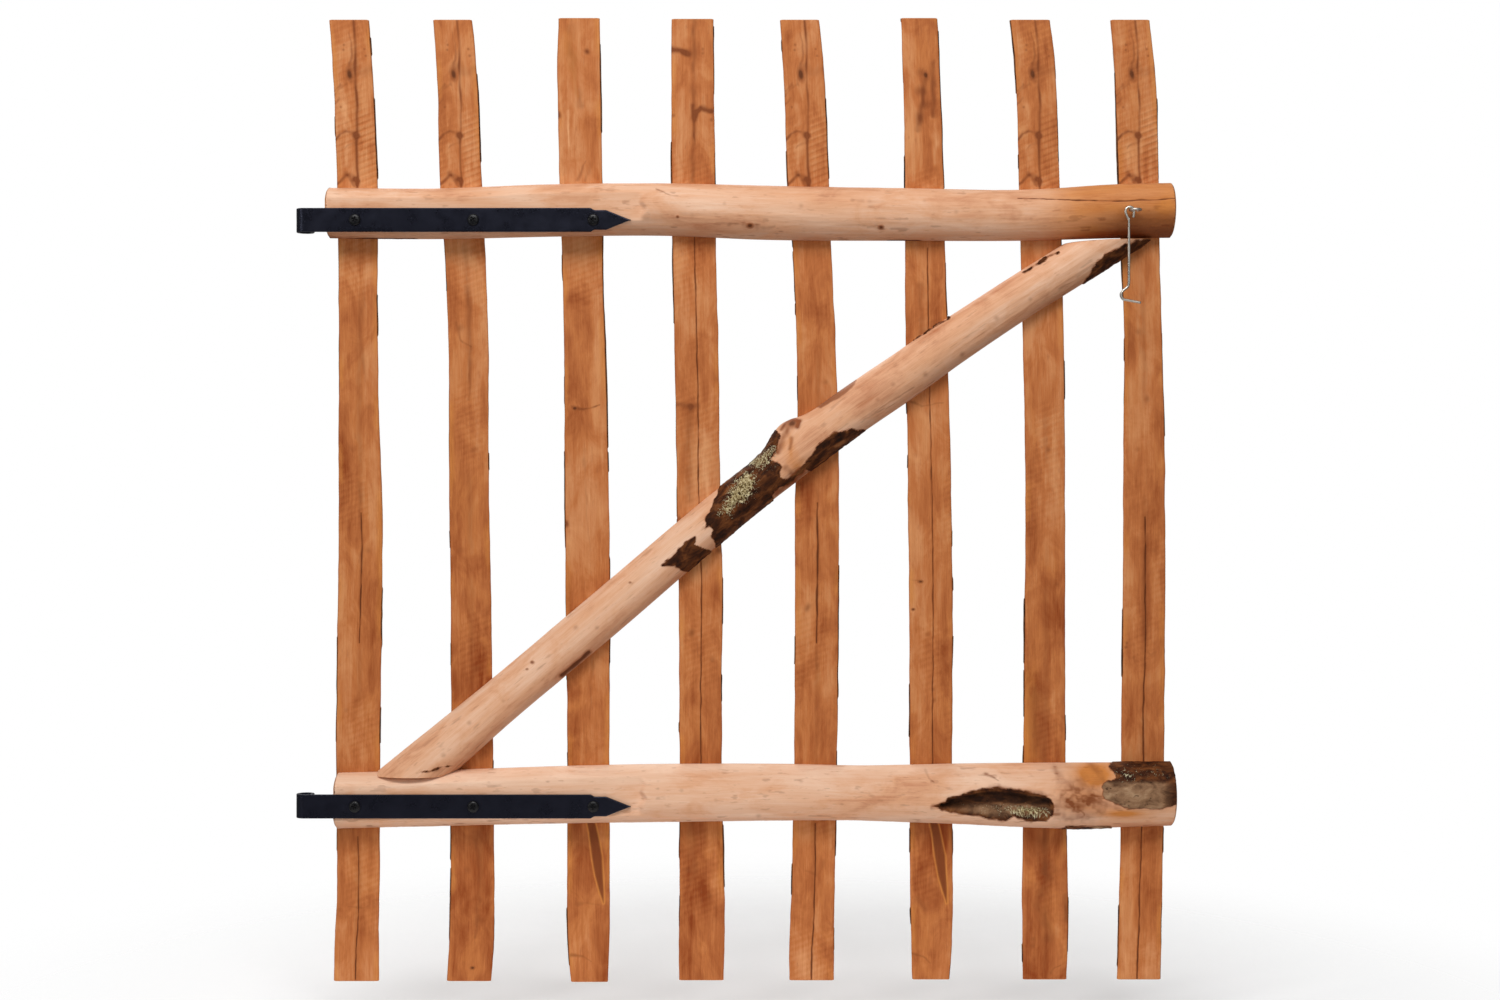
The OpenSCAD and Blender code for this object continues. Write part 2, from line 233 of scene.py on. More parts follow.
def end_rows(grid):
    """1 on the rings that close the ends, 0 on the rows between them."""
    end = np.zeros(grid.shape[:2])
    end[:CAPS] = end[-CAPS:] = 1
    return end


class Surface:
    """What a pole's material reads at each point, drawn in the front view: x and z in mm."""

    def __init__(self, x, z, end):
        self.x, self.z = x, z
        self.marks = {"end": end}
        for name in ("tone", "warm", "stain_and_shade", "saw", "peeled", "bark_hue"):
            self.marks[name] = np.zeros(x.shape)
        for name in ("crack", "knot", "bark", "lichen"):
            self.marks[name] = np.full(x.shape, -1.0)
        self.pushed = np.zeros(x.shape)
        self.drift_x = 1.5 * rough(x / 11, 3, z / 17, 51)
        self.drift_z = 1.5 * rough(x / 17, 5, z / 11, 52)

    def distance(self, path, reach, drift=0.0):
        """Distance to a path of (x, z) points and the share of the path reached there; far away
        it's just a large number. With drift, the path wanders like a thing that grew."""
        path = np.array(path, float)
        near = (self.x > path[:, 0].min() - reach) & (self.x < path[:, 0].max() + reach)
        near &= (self.z > path[:, 1].min() - reach) & (self.z < path[:, 1].max() + reach)
        x = self.x[near] + drift * self.drift_x[near]
        z = self.z[near] + drift * self.drift_z[near]
        best, share = np.full(x.shape, 1e3), np.zeros(x.shape)
        for k in range(len(path) - 1):
            (ax, az), (bx, bz) = path[k], path[k + 1]
            long = max((bx - ax) ** 2 + (bz - az) ** 2, 1e-9)
            t = np.clip(((x - ax) * (bx - ax) + (z - az) * (bz - az)) / long, 0, 1)
            d = np.hypot(x - ax - t * (bx - ax), z - az - t * (bz - az))
            share = np.where(d < best, (k + t) / (len(path) - 1), share)
            best = np.minimum(best, d)
        full, reached = np.full(self.x.shape, 1e3), np.zeros(self.x.shape)
        full[near], reached[near] = best, share
        return full, reached

    def streak(self, mark, path, width, strength, taper=1.0):
        """A soft line of a mark, thinner towards its far end."""
        d, share = self.distance(path, 3 * width, 1.0)
        uneven = 0.85 + 0.4 * noise(self.x / 4, 0, self.z / 9, 53)
        self.marks[mark] += strength * uneven * bump(d, width * (1 - taper * 0.7 * share))

    def stain_and_shade(self, path, width, strength, taper=1.0):
        self.streak("stain_and_shade", path, width, strength, taper)

    def at_least(self, mark, values):
        """Raise a mark to these values where it's lower."""
        self.marks[mark] = np.maximum(self.marks[mark], values)

    def crack(self, path, width=0.8):
        """A dark open line: its field is 1 on the line and 0 about two widths away."""
        d, _ = self.distance(path, 8, 0.3)
        wander = 1 + 0.35 * noise(self.x / 9, 0, self.z / 16, 31)
        self.at_least("crack", 1 - d / (2 * width * wander))

    def knot(self, x, z, rx, rz, lean=0.0):
        """A knot: its field is 1 in the middle and 0 at its edge, and the fibres flow round it."""
        dx, dz = self.x - x, self.z - z
        u = dx * math.cos(lean) + dz * math.sin(lean)
        v = dz * math.cos(lean) - dx * math.sin(lean)
        q = (u / rx) ** 2 + (v / rz) ** 2
        self.at_least("knot", 1 - np.sqrt(q))
        self.pushed += -0.7 * u * np.exp(-q / 5)

    def spots(self, mark, places, radius, strength):
        for x, z in places:
            self.marks[mark] += strength * bump(np.hypot(self.x - x, self.z - z), radius)

    def bare(self, sawn_back):
        """Plain sawn wood on the back: the marks belong to the round front."""
        for name in ("stain_and_shade", "warm"):
            self.marks[name] *= 1 - sawn_back
        for name in ("knot", "crack", "bark", "lichen"):
            self.marks[name] = np.where(sawn_back > 0.3, -1, self.marks[name])
        self.marks["tone"] = self.marks["tone"] * (1 - sawn_back) - 0.2 * sawn_back

    def inside(self, outline):
        """Distance in mm inside an outline, negative outside."""
        d, _ = self.distance(list(outline) + [outline[0]], 25)
        within = np.zeros(self.x.shape, bool)
        ax, az = outline[-1]
        for bx, bz in outline:
            if az != bz:
                crosses = (az > self.z) != (bz > self.z)
                within ^= crosses & (self.x < ax + (self.z - az) * (bx - ax) / (bz - az))
            ax, az = bx, bz
        return np.where(within, d, -d)

    def patch(self, mark, outline, ragged=2.0, soft=4.0):
        """A patch of bark or lichen: its field crosses 0 at a ragged edge."""
        d = self.inside(outline) + ragged * rough(self.x / 7, 0, self.z / 7, 61)
        self.at_least(mark, np.clip(d / soft, -1, 1))


# ---------------------------------------------------------------- materials

def srgb(r, g, b):
    """A colour read on the usual 0 to 255 scale."""
    def linear(v):
        v /= 255
        return v / 12.92 if v <= 0.04045 else ((v + 0.055) / 1.055) ** 2.4
    return (linear(r), linear(g), linear(b), 1.0)


class Paint:
    """The nodes of one material."""

    def __init__(self, name):
        self.material = bpy.data.materials.new(name)
        self.material.use_nodes = True
        self.tree = self.material.node_tree
        self.shader = self.tree.nodes["Principled BSDF"]

    def put(self, socket, value):
        if isinstance(value, bpy.types.NodeSocket):
            self.tree.links.new(value, socket)
        else:
            socket.default_value = value

    def add(self, kind, inputs=None, **settings):
        node = self.tree.nodes.new("ShaderNode" + kind)
        for key, value in settings.items():
            setattr(node, key, value)
        for key, value in (inputs or {}).items():
            self.put(node.inputs[key], value)
        return node

    def level(self, name):
        return self.add("Attribute", attribute_name=name).outputs["Fac"]

    def math(self, operation, a, b=0.0, c=0.0):
        return self.add("Math", {0: a, 1: b, 2: c}, operation=operation).outputs[0]

    def plus(self, a, b, share=1.0):
        """a + share x b"""
        return self.math("MULTIPLY_ADD", b, share, a)

    def stirred(self, value, texture, share, low=0.3):
        """value with share x a texture, its range from low to 1 - low taken as -1 to 1"""
        return self.plus(value, self.spread(texture, low, 1 - low, -1, 1), share)

    def scaled(self, vector, factors):
        return self.add("VectorMath", {0: vector, 1: factors}, operation="MULTIPLY").outputs[0]

    def noise(self, vector, scale, detail=3.0, roughness=0.55, warp=0.0):
        return self.add("TexNoise", {"Vector": vector, "Scale": scale, "Detail": detail,
                                     "Roughness": roughness, "Distortion": warp}).outputs["Fac"]

    def spread(self, value, low, high, to_low=0.0, to_high=1.0, smooth=False):
        node = self.add("MapRange", {"Value": value, "From Min": low, "From Max": high,
                                     "To Min": to_low, "To Max": to_high})
        if smooth:
            node.interpolation_type = "SMOOTHSTEP"
        return node.outputs["Result"]

    def ramp(self, value, stops):
        node = self.add("ValToRGB", {"Fac": value})
        elements = node.color_ramp.elements
        while len(elements) < len(stops):
            elements.new(0.5)
        for element, (place, colour) in zip(elements, stops):
            element.position = place
            element.color = colour
        return node.outputs["Color"]

    def mix(self, amount, a, b, blend="MIX"):
        node = self.add("Mix", data_type="RGBA", blend_type=blend)
        self.put(node.inputs["Factor"], amount)
        self.put(node.inputs[6], a)
        self.put(node.inputs[7], b)
        return node.outputs[2]

    def finish(self, colour, roughness, height=None, depth=0.0005, metallic=0.0, specular=0.5,
               tint=(1, 1, 1, 1)):
        self.put(self.shader.inputs["Base Color"], colour)
        self.put(self.shader.inputs["Roughness"], roughness)
        self.shader.inputs["Metallic"].default_value = metallic
        self.shader.inputs["Specular IOR Level"].default_value = specular
        self.shader.inputs["Specular Tint"].default_value = tint
        if height is not None:
            relief = self.add("Bump", {"Height": height, "Distance": depth, "Strength": 1.0})
            self.tree.links.new(relief.outputs["Normal"], self.shader.inputs["Normal"])
        return self.material


def wood(name, pale, middle, deep):
    """Hazel wood: fibres that follow the grain marks, with the knots, cracks, stains, painted shade,
    bark and lichen that the other marks place."""
    paint = Paint(name)
    grain = paint.add("Attribute", attribute_name="grain").outputs["Vector"]
    fibre = paint.noise(paint.scaled(grain, (1, 1, 0.03)), 1100, 4, 0.65)
    band = paint.noise(paint.scaled(grain, (1, 1, 0.06)), 170, 3, 0.5, 0.5)
    mottle = paint.noise(paint.scaled(grain, (1, 1, 0.5)), 34, 5, 0.62, 0.6)
    fleck = paint.noise(paint.scaled(grain, (1, 1, 0.22)), 330, 2, 0.6)

    # The saw's slanting ripples
    slant = paint.add("VectorMath", {0: grain, 1: (-0.38, 0.0, 1.0)}, operation="DOT_PRODUCT")
    place = paint.add("CombineXYZ", {"X": slant.outputs["Value"]}).outputs[0]
    ripple = paint.add("TexWave", {"Vector": place, "Scale": 42.0, "Distortion": 1.2, "Detail": 2.0,
                                   "Detail Scale": 2.0}, bands_direction="X").outputs["Fac"]
    ripple = paint.math("MULTIPLY", paint.spread(ripple, 0, 1, -1, 1), paint.level("saw"))

    tone = paint.stirred(paint.level("tone"), band, 0.2, 0.25)
    tone = paint.stirred(tone, mottle, 0.5, 0.25)
    tone = paint.stirred(tone, fibre, 0.22, 0.25)
    tone = paint.plus(tone, ripple, 0.16)
    colour = paint.ramp(paint.spread(tone, -1, 1), [(0.1, deep), (0.5, middle), (0.9, pale)])
    peeled = paint.ramp(paint.spread(tone, -1, 1), [(0.1, srgb(184, 120, 80)), (0.5, srgb(226, 174, 138)),
                                                    (0.9, srgb(244, 210, 184))])
    colour = paint.mix(paint.level("peeled"), colour, peeled)
    warm = paint.spread(paint.stirred(paint.level("warm"), mottle, 0.25), 0, 1)
    colour = paint.mix(warm, colour, paint.mix(fibre, srgb(176, 92, 34), srgb(236, 160, 84)))
    flecks = paint.spread(fleck, 0.62, 0.76, 0, 0.3)
    colour = paint.mix(flecks, colour, srgb(158, 90, 54))

    # Stains, and the painted shade on the undersides of the poles, soak along the fibres, so that their
    # edges are streaky
    soak = paint.stirred(paint.level("stain_and_shade"), fibre, 0.12)
    soak = paint.stirred(soak, mottle, 0.1)
    colour = paint.mix(paint.spread(soak, 0.1, 1.0, 0, 0.95), colour,
                       paint.mix(fibre, srgb(104, 46, 16), srgb(150, 82, 42)))
    knot = paint.stirred(paint.level("knot"), fleck, 0.08)
    colour = paint.mix(paint.spread(knot, -0.55, 0.25, 0, 0.65, True), colour, srgb(150, 82, 42))
    colour = paint.mix(paint.spread(knot, 0.1, 0.7, 0, 0.85, True), colour, srgb(88, 44, 18))
    crack = paint.stirred(paint.level("crack"), fibre, 0.25)
    colour = paint.mix(paint.spread(crack, -0.35, 0.25, 0, 0.5, True), colour, srgb(140, 70, 28))
    colour = paint.mix(paint.spread(crack, 0.25, 0.65, 0, 0.85, True), colour, srgb(84, 38, 14))

    # Bark: dark brown and rough, or grey and smooth, with a torn edge of brown bast
    scales = paint.noise(paint.scaled(grain, (1, 1, 0.45)), 110, 5, 0.62, 0.5)
    torn = paint.stirred(paint.level("bark"), fibre, 0.2)
    rough_bark = paint.ramp(scales, [(0.3, srgb(24, 9, 2)), (0.46, srgb(66, 31, 10)),
                                     (0.6, srgb(110, 62, 28)), (0.8, srgb(150, 98, 58))])
    grey_bark = paint.ramp(scales, [(0.3, srgb(86, 56, 36)), (0.5, srgb(146, 110, 80)),
                                    (0.72, srgb(184, 150, 116))])
    pores = paint.spread(paint.noise(paint.scaled(grain, (1, 1, 0.6)), 260, 1, 0.5), 0.66, 0.72, 0, 0.8)
    bark = paint.mix(paint.level("bark_hue"), rough_bark, paint.mix(pores, grey_bark, srgb(56, 34, 18)))
    # Painted shade: bark goes near black where the tone is very low, as inside the bottom rail's hollow
    bark = paint.mix(paint.spread(paint.level("tone"), -1.6, -0.6, 0.85, 0), bark, srgb(22, 8, 1))
    colour = paint.mix(paint.spread(torn, -0.4, 0.0, 0, 0.8, True), colour, srgb(132, 68, 30))
    is_bark = paint.spread(torn, -0.03, 0.06, smooth=True)
    colour = paint.mix(is_bark, colour, bark)
    crust = paint.noise(grain, 260, 4, 0.75, 1.6)
    lichen = paint.stirred(paint.level("lichen"), crust, 0.8)
    is_lichen = paint.spread(lichen, 0.0, 0.2, smooth=True)
    crust_colour = paint.ramp(paint.spread(crust, 0.4, 0.64), [
        (0.05, srgb(58, 42, 16)), (0.3, srgb(134, 112, 68)), (0.55, srgb(190, 170, 124)),
        (0.9, srgb(218, 206, 168))])
    colour = paint.mix(is_lichen, colour, crust_colour)

    end = paint.level("end")
    place = paint.add("CombineXYZ", {"X": paint.level("ring")}).outputs[0]
    rings = paint.plus(paint.noise(place, 520, 2, 0.7), paint.noise(grain, 120, 4, 0.6), 0.6)
    colour = paint.mix(end, colour, paint.ramp(paint.spread(rings, 0.5, 1.1), [
        (0.1, srgb(150, 88, 48)), (0.5, srgb(200, 138, 92)), (0.9, srgb(224, 172, 128))]))
    height = paint.plus(paint.math("MULTIPLY", fibre, 0.45), ripple, 0.35)
    height = paint.plus(height, paint.math("MULTIPLY", scales, is_bark), 2.2)
    height = paint.plus(height, paint.math("MULTIPLY", crust, is_lichen), 1.6)
    roughness = paint.plus(paint.spread(fibre, 0, 1, 0.56, 0.76), is_bark, 0.08)
    return paint.finish(colour, roughness, height, 0.0005, specular=0.15)


SLAT_WOOD = wood("sawn_hazel", srgb(226, 162, 112), srgb(194, 116, 64), srgb(140, 62, 20))
POLE_WOOD = wood("peeled_hazel", srgb(244, 206, 178), srgb(226, 170, 132), srgb(180, 106, 66))


def metal(name, colour, metallic, roughness, specular=0.5, grit=0.0002, tint=(1, 1, 1, 1)):
    """Painted or plated metal, with broad changes of sheen and a fine grit."""
    paint = Paint(name)
    place = paint.add("TexCoord").outputs["Object"]
    fine = paint.noise(place, 1400, 3, 0.6)
    broad = paint.noise(place, 60, 3, 0.6)
    light = tuple(min(1.0, 1.6 * c) for c in colour[:3]) + (1.0,)
    shade = paint.mix(paint.spread(broad, 0.3, 0.7), colour, light)
    return paint.finish(shade, paint.spread(broad, 0.3, 0.7, roughness - 0.06, roughness + 0.08),
                        fine, grit, metallic, specular, tint)


BLACK = metal("black_powder_coat", srgb(6, 6, 11), 0.0, 0.3, 0.4, tint=srgb(210, 216, 255))
BLACK_SCREW = metal("black_screw", srgb(6, 6, 8), 0.0, 0.3, 0.28)
ZINC = metal("zinc_wire", srgb(172, 167, 158), 1.0, 0.3, grit=0.00002)
ZINC_SCREW = metal("zinc_screw", srgb(178, 174, 166), 1.0, 0.36)


# ---------------------------------------------------------------- slats

SLAT_ROWS = 1030
SLAT_FRONT = 54
SLAT_BACK = 38

# Paleness along each slat, from stations (height, -1 dark to 1 pale): the wood's own tone, with painted
# light that makes most slats paler towards their tops
PITH_TONE_AND_LIGHT = [(-570, 0.15), (-470, -0.05), (-250, -0.08), (0, -0.08), (200, -0.02), (400, 0.12), (570, 0)]
SLAT_TONES_AND_LIGHT = {
    1: PITH_TONE_AND_LIGHT,
    2: [(-570, -0.35), (-400, -0.3), (-250, -0.2), (0, -0.1), (220, 0.1), (400, 0.15), (570, 0.0)],
    3: [(-570, -0.1), (-440, -0.2), (-200, -0.15), (0, 0.1), (200, 0.0), (400, 0.2), (570, 0.05)],
    4: [(-570, -0.2), (-420, -0.25), (-200, -0.05), (0, 0.1), (200, -0.05), (400, 0.15), (570, 0.0)],
    5: PITH_TONE_AND_LIGHT,
    6: [(-570, -0.1), (-440, -0.25), (-220, -0.05), (0, 0.12), (200, 0.0), (400, 0.1), (570, -0.1)],
    7: [(-570, -0.25), (-330, -0.35), (-210, -0.2), (0, -0.05), (250, 0.2), (400, 0.2), (570, 0.0)],
    8: PITH_TONE_AND_LIGHT,
}
# Bark left along an edge: (side, from height, to height)
EDGE_BARK = {
    1: [(1, 480, 380), (-1, -200, -290)],
    2: [(1, 500, 400), (-1, -380, -430)],
    3: [(1, 545, 500), (1, 330, 60), (-1, 60, -40)],
    4: [(1, 566, 480), (-1, -20, -50), (1, -90, -150)],
    5: [(1, 480, 380)],
    6: [(1, -90, -110), (1, 560, 470), (-1, 180, 100)],
    7: [(1, 480, 400), (-1, -200, -260), (1, -470, -540)],
    8: [(1, 480, 380), (-1, -160, -190), (-1, -480, -540)],
}
# Slats from poles with the same pair of twigs near their tops, and a pith line full length
FORKED = (1, 2, 5, 7, 8)


def forked_top(face):
    """The knots and streaks near the top of a forked slat, x from the middle of its width."""
    face.knot(-3.6, 506, 4.0, 8.5, 0.15)
    face.stain_and_shade([(-4, 500), (-3, 520), (1, 540), (0, 556)], 2.6, 0.5)
    face.stain_and_shade([(-5, 506), (-8, 500), (-6, 492)], 3, 0.45)
    face.stain_and_shade([(4, 514), (14, 509), (24, 512)], 7, 0.4, 0)
    for path in ([(-24, 480), (-16, 488), (-8, 494)], [(-22, 486), (-14, 494)], [(-25, 470), (-17, 478)]):
        face.stain_and_shade(path[::-1], 2.0, 0.5, 0.6)
    face.stain_and_shade([(2, 433), (-4, 438), (-10, 439), (-17, 436), (-24, 428)], 2.6, 0.8, 0.5)
    face.stain_and_shade([(0, 434), (-3, 425), (-12, 418)], 3.4, 0.4)
    face.stain_and_shade([(1, 380), (-6, 387), (-13, 385), (-23, 376)], 2.6, 0.75, 0.5)
    face.stain_and_shade([(-12, 388), (-6, 380), (-3, 372)], 3.4, 0.6)
    face.spots("stain_and_shade", [(-1, 433), (-3, 381), (0, 376)], 3.2, 0.8)
    face.spots("stain_and_shade", [(-9, 535), (-8, 541), (16, 536), (17, 528), (-16, 467)], 1.6, 0.7)
    face.streak("tone", [(-13, 470), (-12, 445)], 4, 0.35)
    face.streak("tone", [(-11, 420), (-13, 395)], 4, 0.3)
    face.marks["saw"] += 0.75 * step(480, 440, face.z) * step(-2, 8, face.x) * step(280, 350, face.z)
    face.marks["saw"] += 0.3 * step(475, 420, face.z) * step(340, 400, face.z) * step(2, -12, face.x)


ROT = [(-3, -376), (1, -396), (4, -423), (8, -446), (13, -464), (18, -479), (18, -464), (17, -446),
       (16, -423), (11, -398), (6, -376)]


def rot_streak(face):
    """An olive-brown spindle of rot that starts behind the bottom rail."""
    depth = face.inside(ROT)
    face.marks["warm"] += 0.9 * step(-3, -1, depth) * step(2.5, 0.5, depth)
    face.marks["stain_and_shade"] += 1.15 * step(-1.5, 1.5, depth)
    face.marks["tone"] -= 0.5 * step(-1, 2, depth)


def slat_1(face):
    face.crack([(1, -15), (2, -60), (1, -120), (0, -170)], 0.55)
    face.stain_and_shade([(-1, 20), (2, -60), (1, -150)], 4, 0.45)
    face.stain_and_shade([(6, 250), (4, 200), (8, 140)], 5, 0.35)
    face.spots("stain_and_shade", [(12, 110), (-8, 60), (10, -60), (-14, -250)], 4, 0.35)
    face.stain_and_shade([(20, -480), (8, -486), (-10, -482)], 3, 0.4)
    face.crack([(0, -400), (1, -480), (-1, -570)], 0.5)


def slat_2(face):
    face.stain_and_shade([(2, 250), (4, 180), (0, 120)], 4, 0.4)
    face.stain_and_shade([(-14, 210), (-10, 190), (4, 182)], 2, 0.5)
    face.spots("stain_and_shade", [(-9, 205), (6, 60), (-12, -60), (8, -200), (-6, -440), (10, -500)], 5, 0.4)
    face.stain_and_shade([(6, -395), (10, -450), (4, -520)], 7, 0.5)
    face.knot(3, -556, 3.0, 2.2)


def slat_3(face):
    face.stain_and_shade([(-9, 562), (-9, 530), (-4, 500), (1, 470)], 6.5, 0.42, 0.2)
    face.streak("warm", [(-12, 550), (-2, 480)], 8, 0.5)
    face.spots("stain_and_shade", [(11, 532), (9, 534)], 3, 0.7)
    face.spots("stain_and_shade", [(-25, 460), (-24, 456)], 3, 0.8)
    face.streak("tone", [(-14, 463), (-12, 420)], 2, 0.8)
    face.stain_and_shade([(-4, 382), (0, 392), (6, 404)], 3, 0.6)
    face.stain_and_shade([(12, 400), (5, 380)], 6, 0.35)
    face.stain_and_shade([(-16, 110), (-2, 108), (18, 112)], 2.2, 0.85)
    face.knot(-13, 109, 3.4, 2.4)
    face.stain_and_shade([(-2, 60), (-1, 0), (3, -60)], 3, 0.3)
    face.spots("stain_and_shade", [(-24, -30), (-25, -26)], 3, 0.8)
    face.stain_and_shade([(2, -120), (4, -200), (2, -260)], 4, 0.4)
    rot_streak(face)
    face.stain_and_shade([(-20, -540), (-8, -541), (4, -548)], 2.4, 0.6)
    face.stain_and_shade([(-14, -480), (0, -478), (14, -482)], 3, 0.4)


def slat_4(face):
    face.stain_and_shade([(-1, 470), (0, 445), (1, 422)], 2.2, 0.6)
    face.stain_and_shade([(2, 572), (1, 500), (0, 440), (-2, 380)], 3.6, 0.6, 0)
    face.stain_and_shade([(-7, 532), (-14, 534), (-26, 537)], 4, 1.5, 0.2)
    face.stain_and_shade([(2, 452), (4, 461), (10, 466), (23, 463)], 3.6, 1.3, 0.3)
    face.spots("stain_and_shade", [(12, 536), (12, 531)], 2, 0.6)
    face.spots("stain_and_shade", [(-23, 457), (22, 452)], 2.4, 0.7)
    face.stain_and_shade([(-25, 113), (-10, 111), (0, 113)], 4.5, 0.65, 0.2)
    face.stain_and_shade([(0, -20), (6, -14), (20, -18)], 2.6, 0.6)
    face.spots("stain_and_shade", [(-8, 112), (-24, -22), (22, -60)], 3.5, 0.7)
    face.crack([(0, 330), (1, 150), (0, 20), (1, -100), (0, -330)], 0.5)
    face.stain_and_shade([(-10, 108), (-12, 60), (-11, 0)], 7, 0.45, 0.3)
    face.streak("tone", [(8, 80), (10, 0)], 6, 0.4)
    face.spots("stain_and_shade", [(-11, -160), (-10, -156), (14, -190), (-16, -440), (9, -470)], 4, 0.45)
    face.stain_and_shade([(-14, -382), (-11, -412), (-11, -450)], 8, 0.4, 0.2)


def slat_5(face):
    face.crack([(0, -3), (1, -70), (0, -170)], 0.7)
    face.stain_and_shade([(0, 20), (1, -90), (-1, -200)], 4, 0.35)
    face.spots("stain_and_shade", [(-8, -22), (-14, 40), (10, 140), (-12, -130), (-10, -126)], 3.5, 0.45)
    face.crack([(1, -385), (2, -470), (0, -571)], 0.6)
    face.stain_and_shade([(14, -430), (4, -445), (-12, -440)], 4, 0.3)


def slat_6(face):
    face.spots("stain_and_shade", [(0, 508), (-4, 486), (6, 470), (-3, 456)], 6, 0.55)
    face.stain_and_shade([(14, 520), (13, 480), (14, 455)], 3.4, 0.8, 0.2)
    face.stain_and_shade([(4, 500), (-2, 465), (-5, 440)], 3.6, 0.8, 0.2)
    face.knot(5, 505, 3.4, 5.0, 0.3)
    face.streak("tone", [(14, 452), (14, 402)], 5, 0.6, 0)
    face.stain_and_shade([(-22, 118), (-8, 112), (20, 115)], 2.2, 0.5)
    face.crack([(3, 300), (2, 120), (3, -60), (2, -240), (2, -345)], 0.45)
    face.stain_and_shade([(-6, 255), (-6, 190)], 5, 0.4, 0)
    face.knot(-12, -97, 3.4, 2.0)
    face.stain_and_shade([(-12, -96), (-24, -94)], 1.6, 0.5)
    face.knot(-21, -130, 2.6, 2.0)
    face.spots("stain_and_shade", [(3, -225), (4, -238), (-4, -160)], 3, 0.5)
    rot_streak(face)
    face.stain_and_shade([(-22, -538), (-10, -542), (0, -550)], 1.8, 0.6)
    face.spots("stain_and_shade", [(-12, -480), (-8, -486), (-16, -474)], 4, 0.4)


def slat_7(face):
    face.stain_and_shade([(-12, -225), (-9, -300), (-12, -345)], 9, 0.45, 0)
    face.stain_and_shade([(-2, -390), (-4, -420), (-2, -440)], 9, 0.5, 0)
    face.stain_and_shade([(6, -440), (-6, -480), (4, -520)], 9, 0.5, 0)
    face.stain_and_shade([(24, -470), (25, -500)], 3, 0.7, 0)
    face.stain_and_shade([(8, -562), (12, -556), (20, -552)], 2.2, 0.8)
    face.spots("stain_and_shade", [(-14, -522), (-15, -530), (14, -100), (4, 60)], 3, 0.5)
    face.streak("warm", [(-18, -210), (-16, -330)], 10, 0.5, 0)


def slat_8(face):
    face.crack([(1, -20), (2, -170), (0, -250), (1, -330), (-1, -450), (-2, -571)], 0.6)
    face.stain_and_shade([(2, 0), (1, -120), (1, -300)], 5, 0.4, 0)
    face.spots("stain_and_shade", [(-20, -170), (-21, -175)], 2, 0.7)
    face.stain_and_shade([(14, -180), (8, -186), (4, -182)], 1.8, 0.4)
    face.stain_and_shade([(-12, -186), (-10, -196)], 1.8, 0.5)
    face.spots("stain_and_shade", [(4, 120), (-8, 60), (12, -60), (-6, 200)], 4, 0.35)


OWN_MARKS = (slat_1, slat_2, slat_3, slat_4, slat_5, slat_6, slat_7, slat_8)


def screw_places(node):
    """Middles of the separate screws of a CAD node, in mm: x, y of the head's top, z."""
    co = vertices_mm(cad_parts[node].data)
    heads = co[co[:, 1] > co[:, 1].max() - 8]
    places = []
    for point in heads:
        if all(np.hypot(point[0] - p[0], point[2] - p[2]) > 20 for p in places):
            near = heads[np.hypot(heads[:, 0] - point[0], heads[:, 2] - point[2]) < 20]
            low, high = near.min(0), near.max(0)
            places.append(((low[0] + high[0]) / 2, high[1], (low[2] + high[2]) / 2))
    return places


SCREW_NODES = ("top_rail_slat_screws", "bottom_rail_slat_screws", "brace_slat_screws")
SCREWS = [place for node in SCREW_NODES for place in screw_places(node)]
HOLE_RADIUS = 4.8
HOLE_EDGE = 0.75


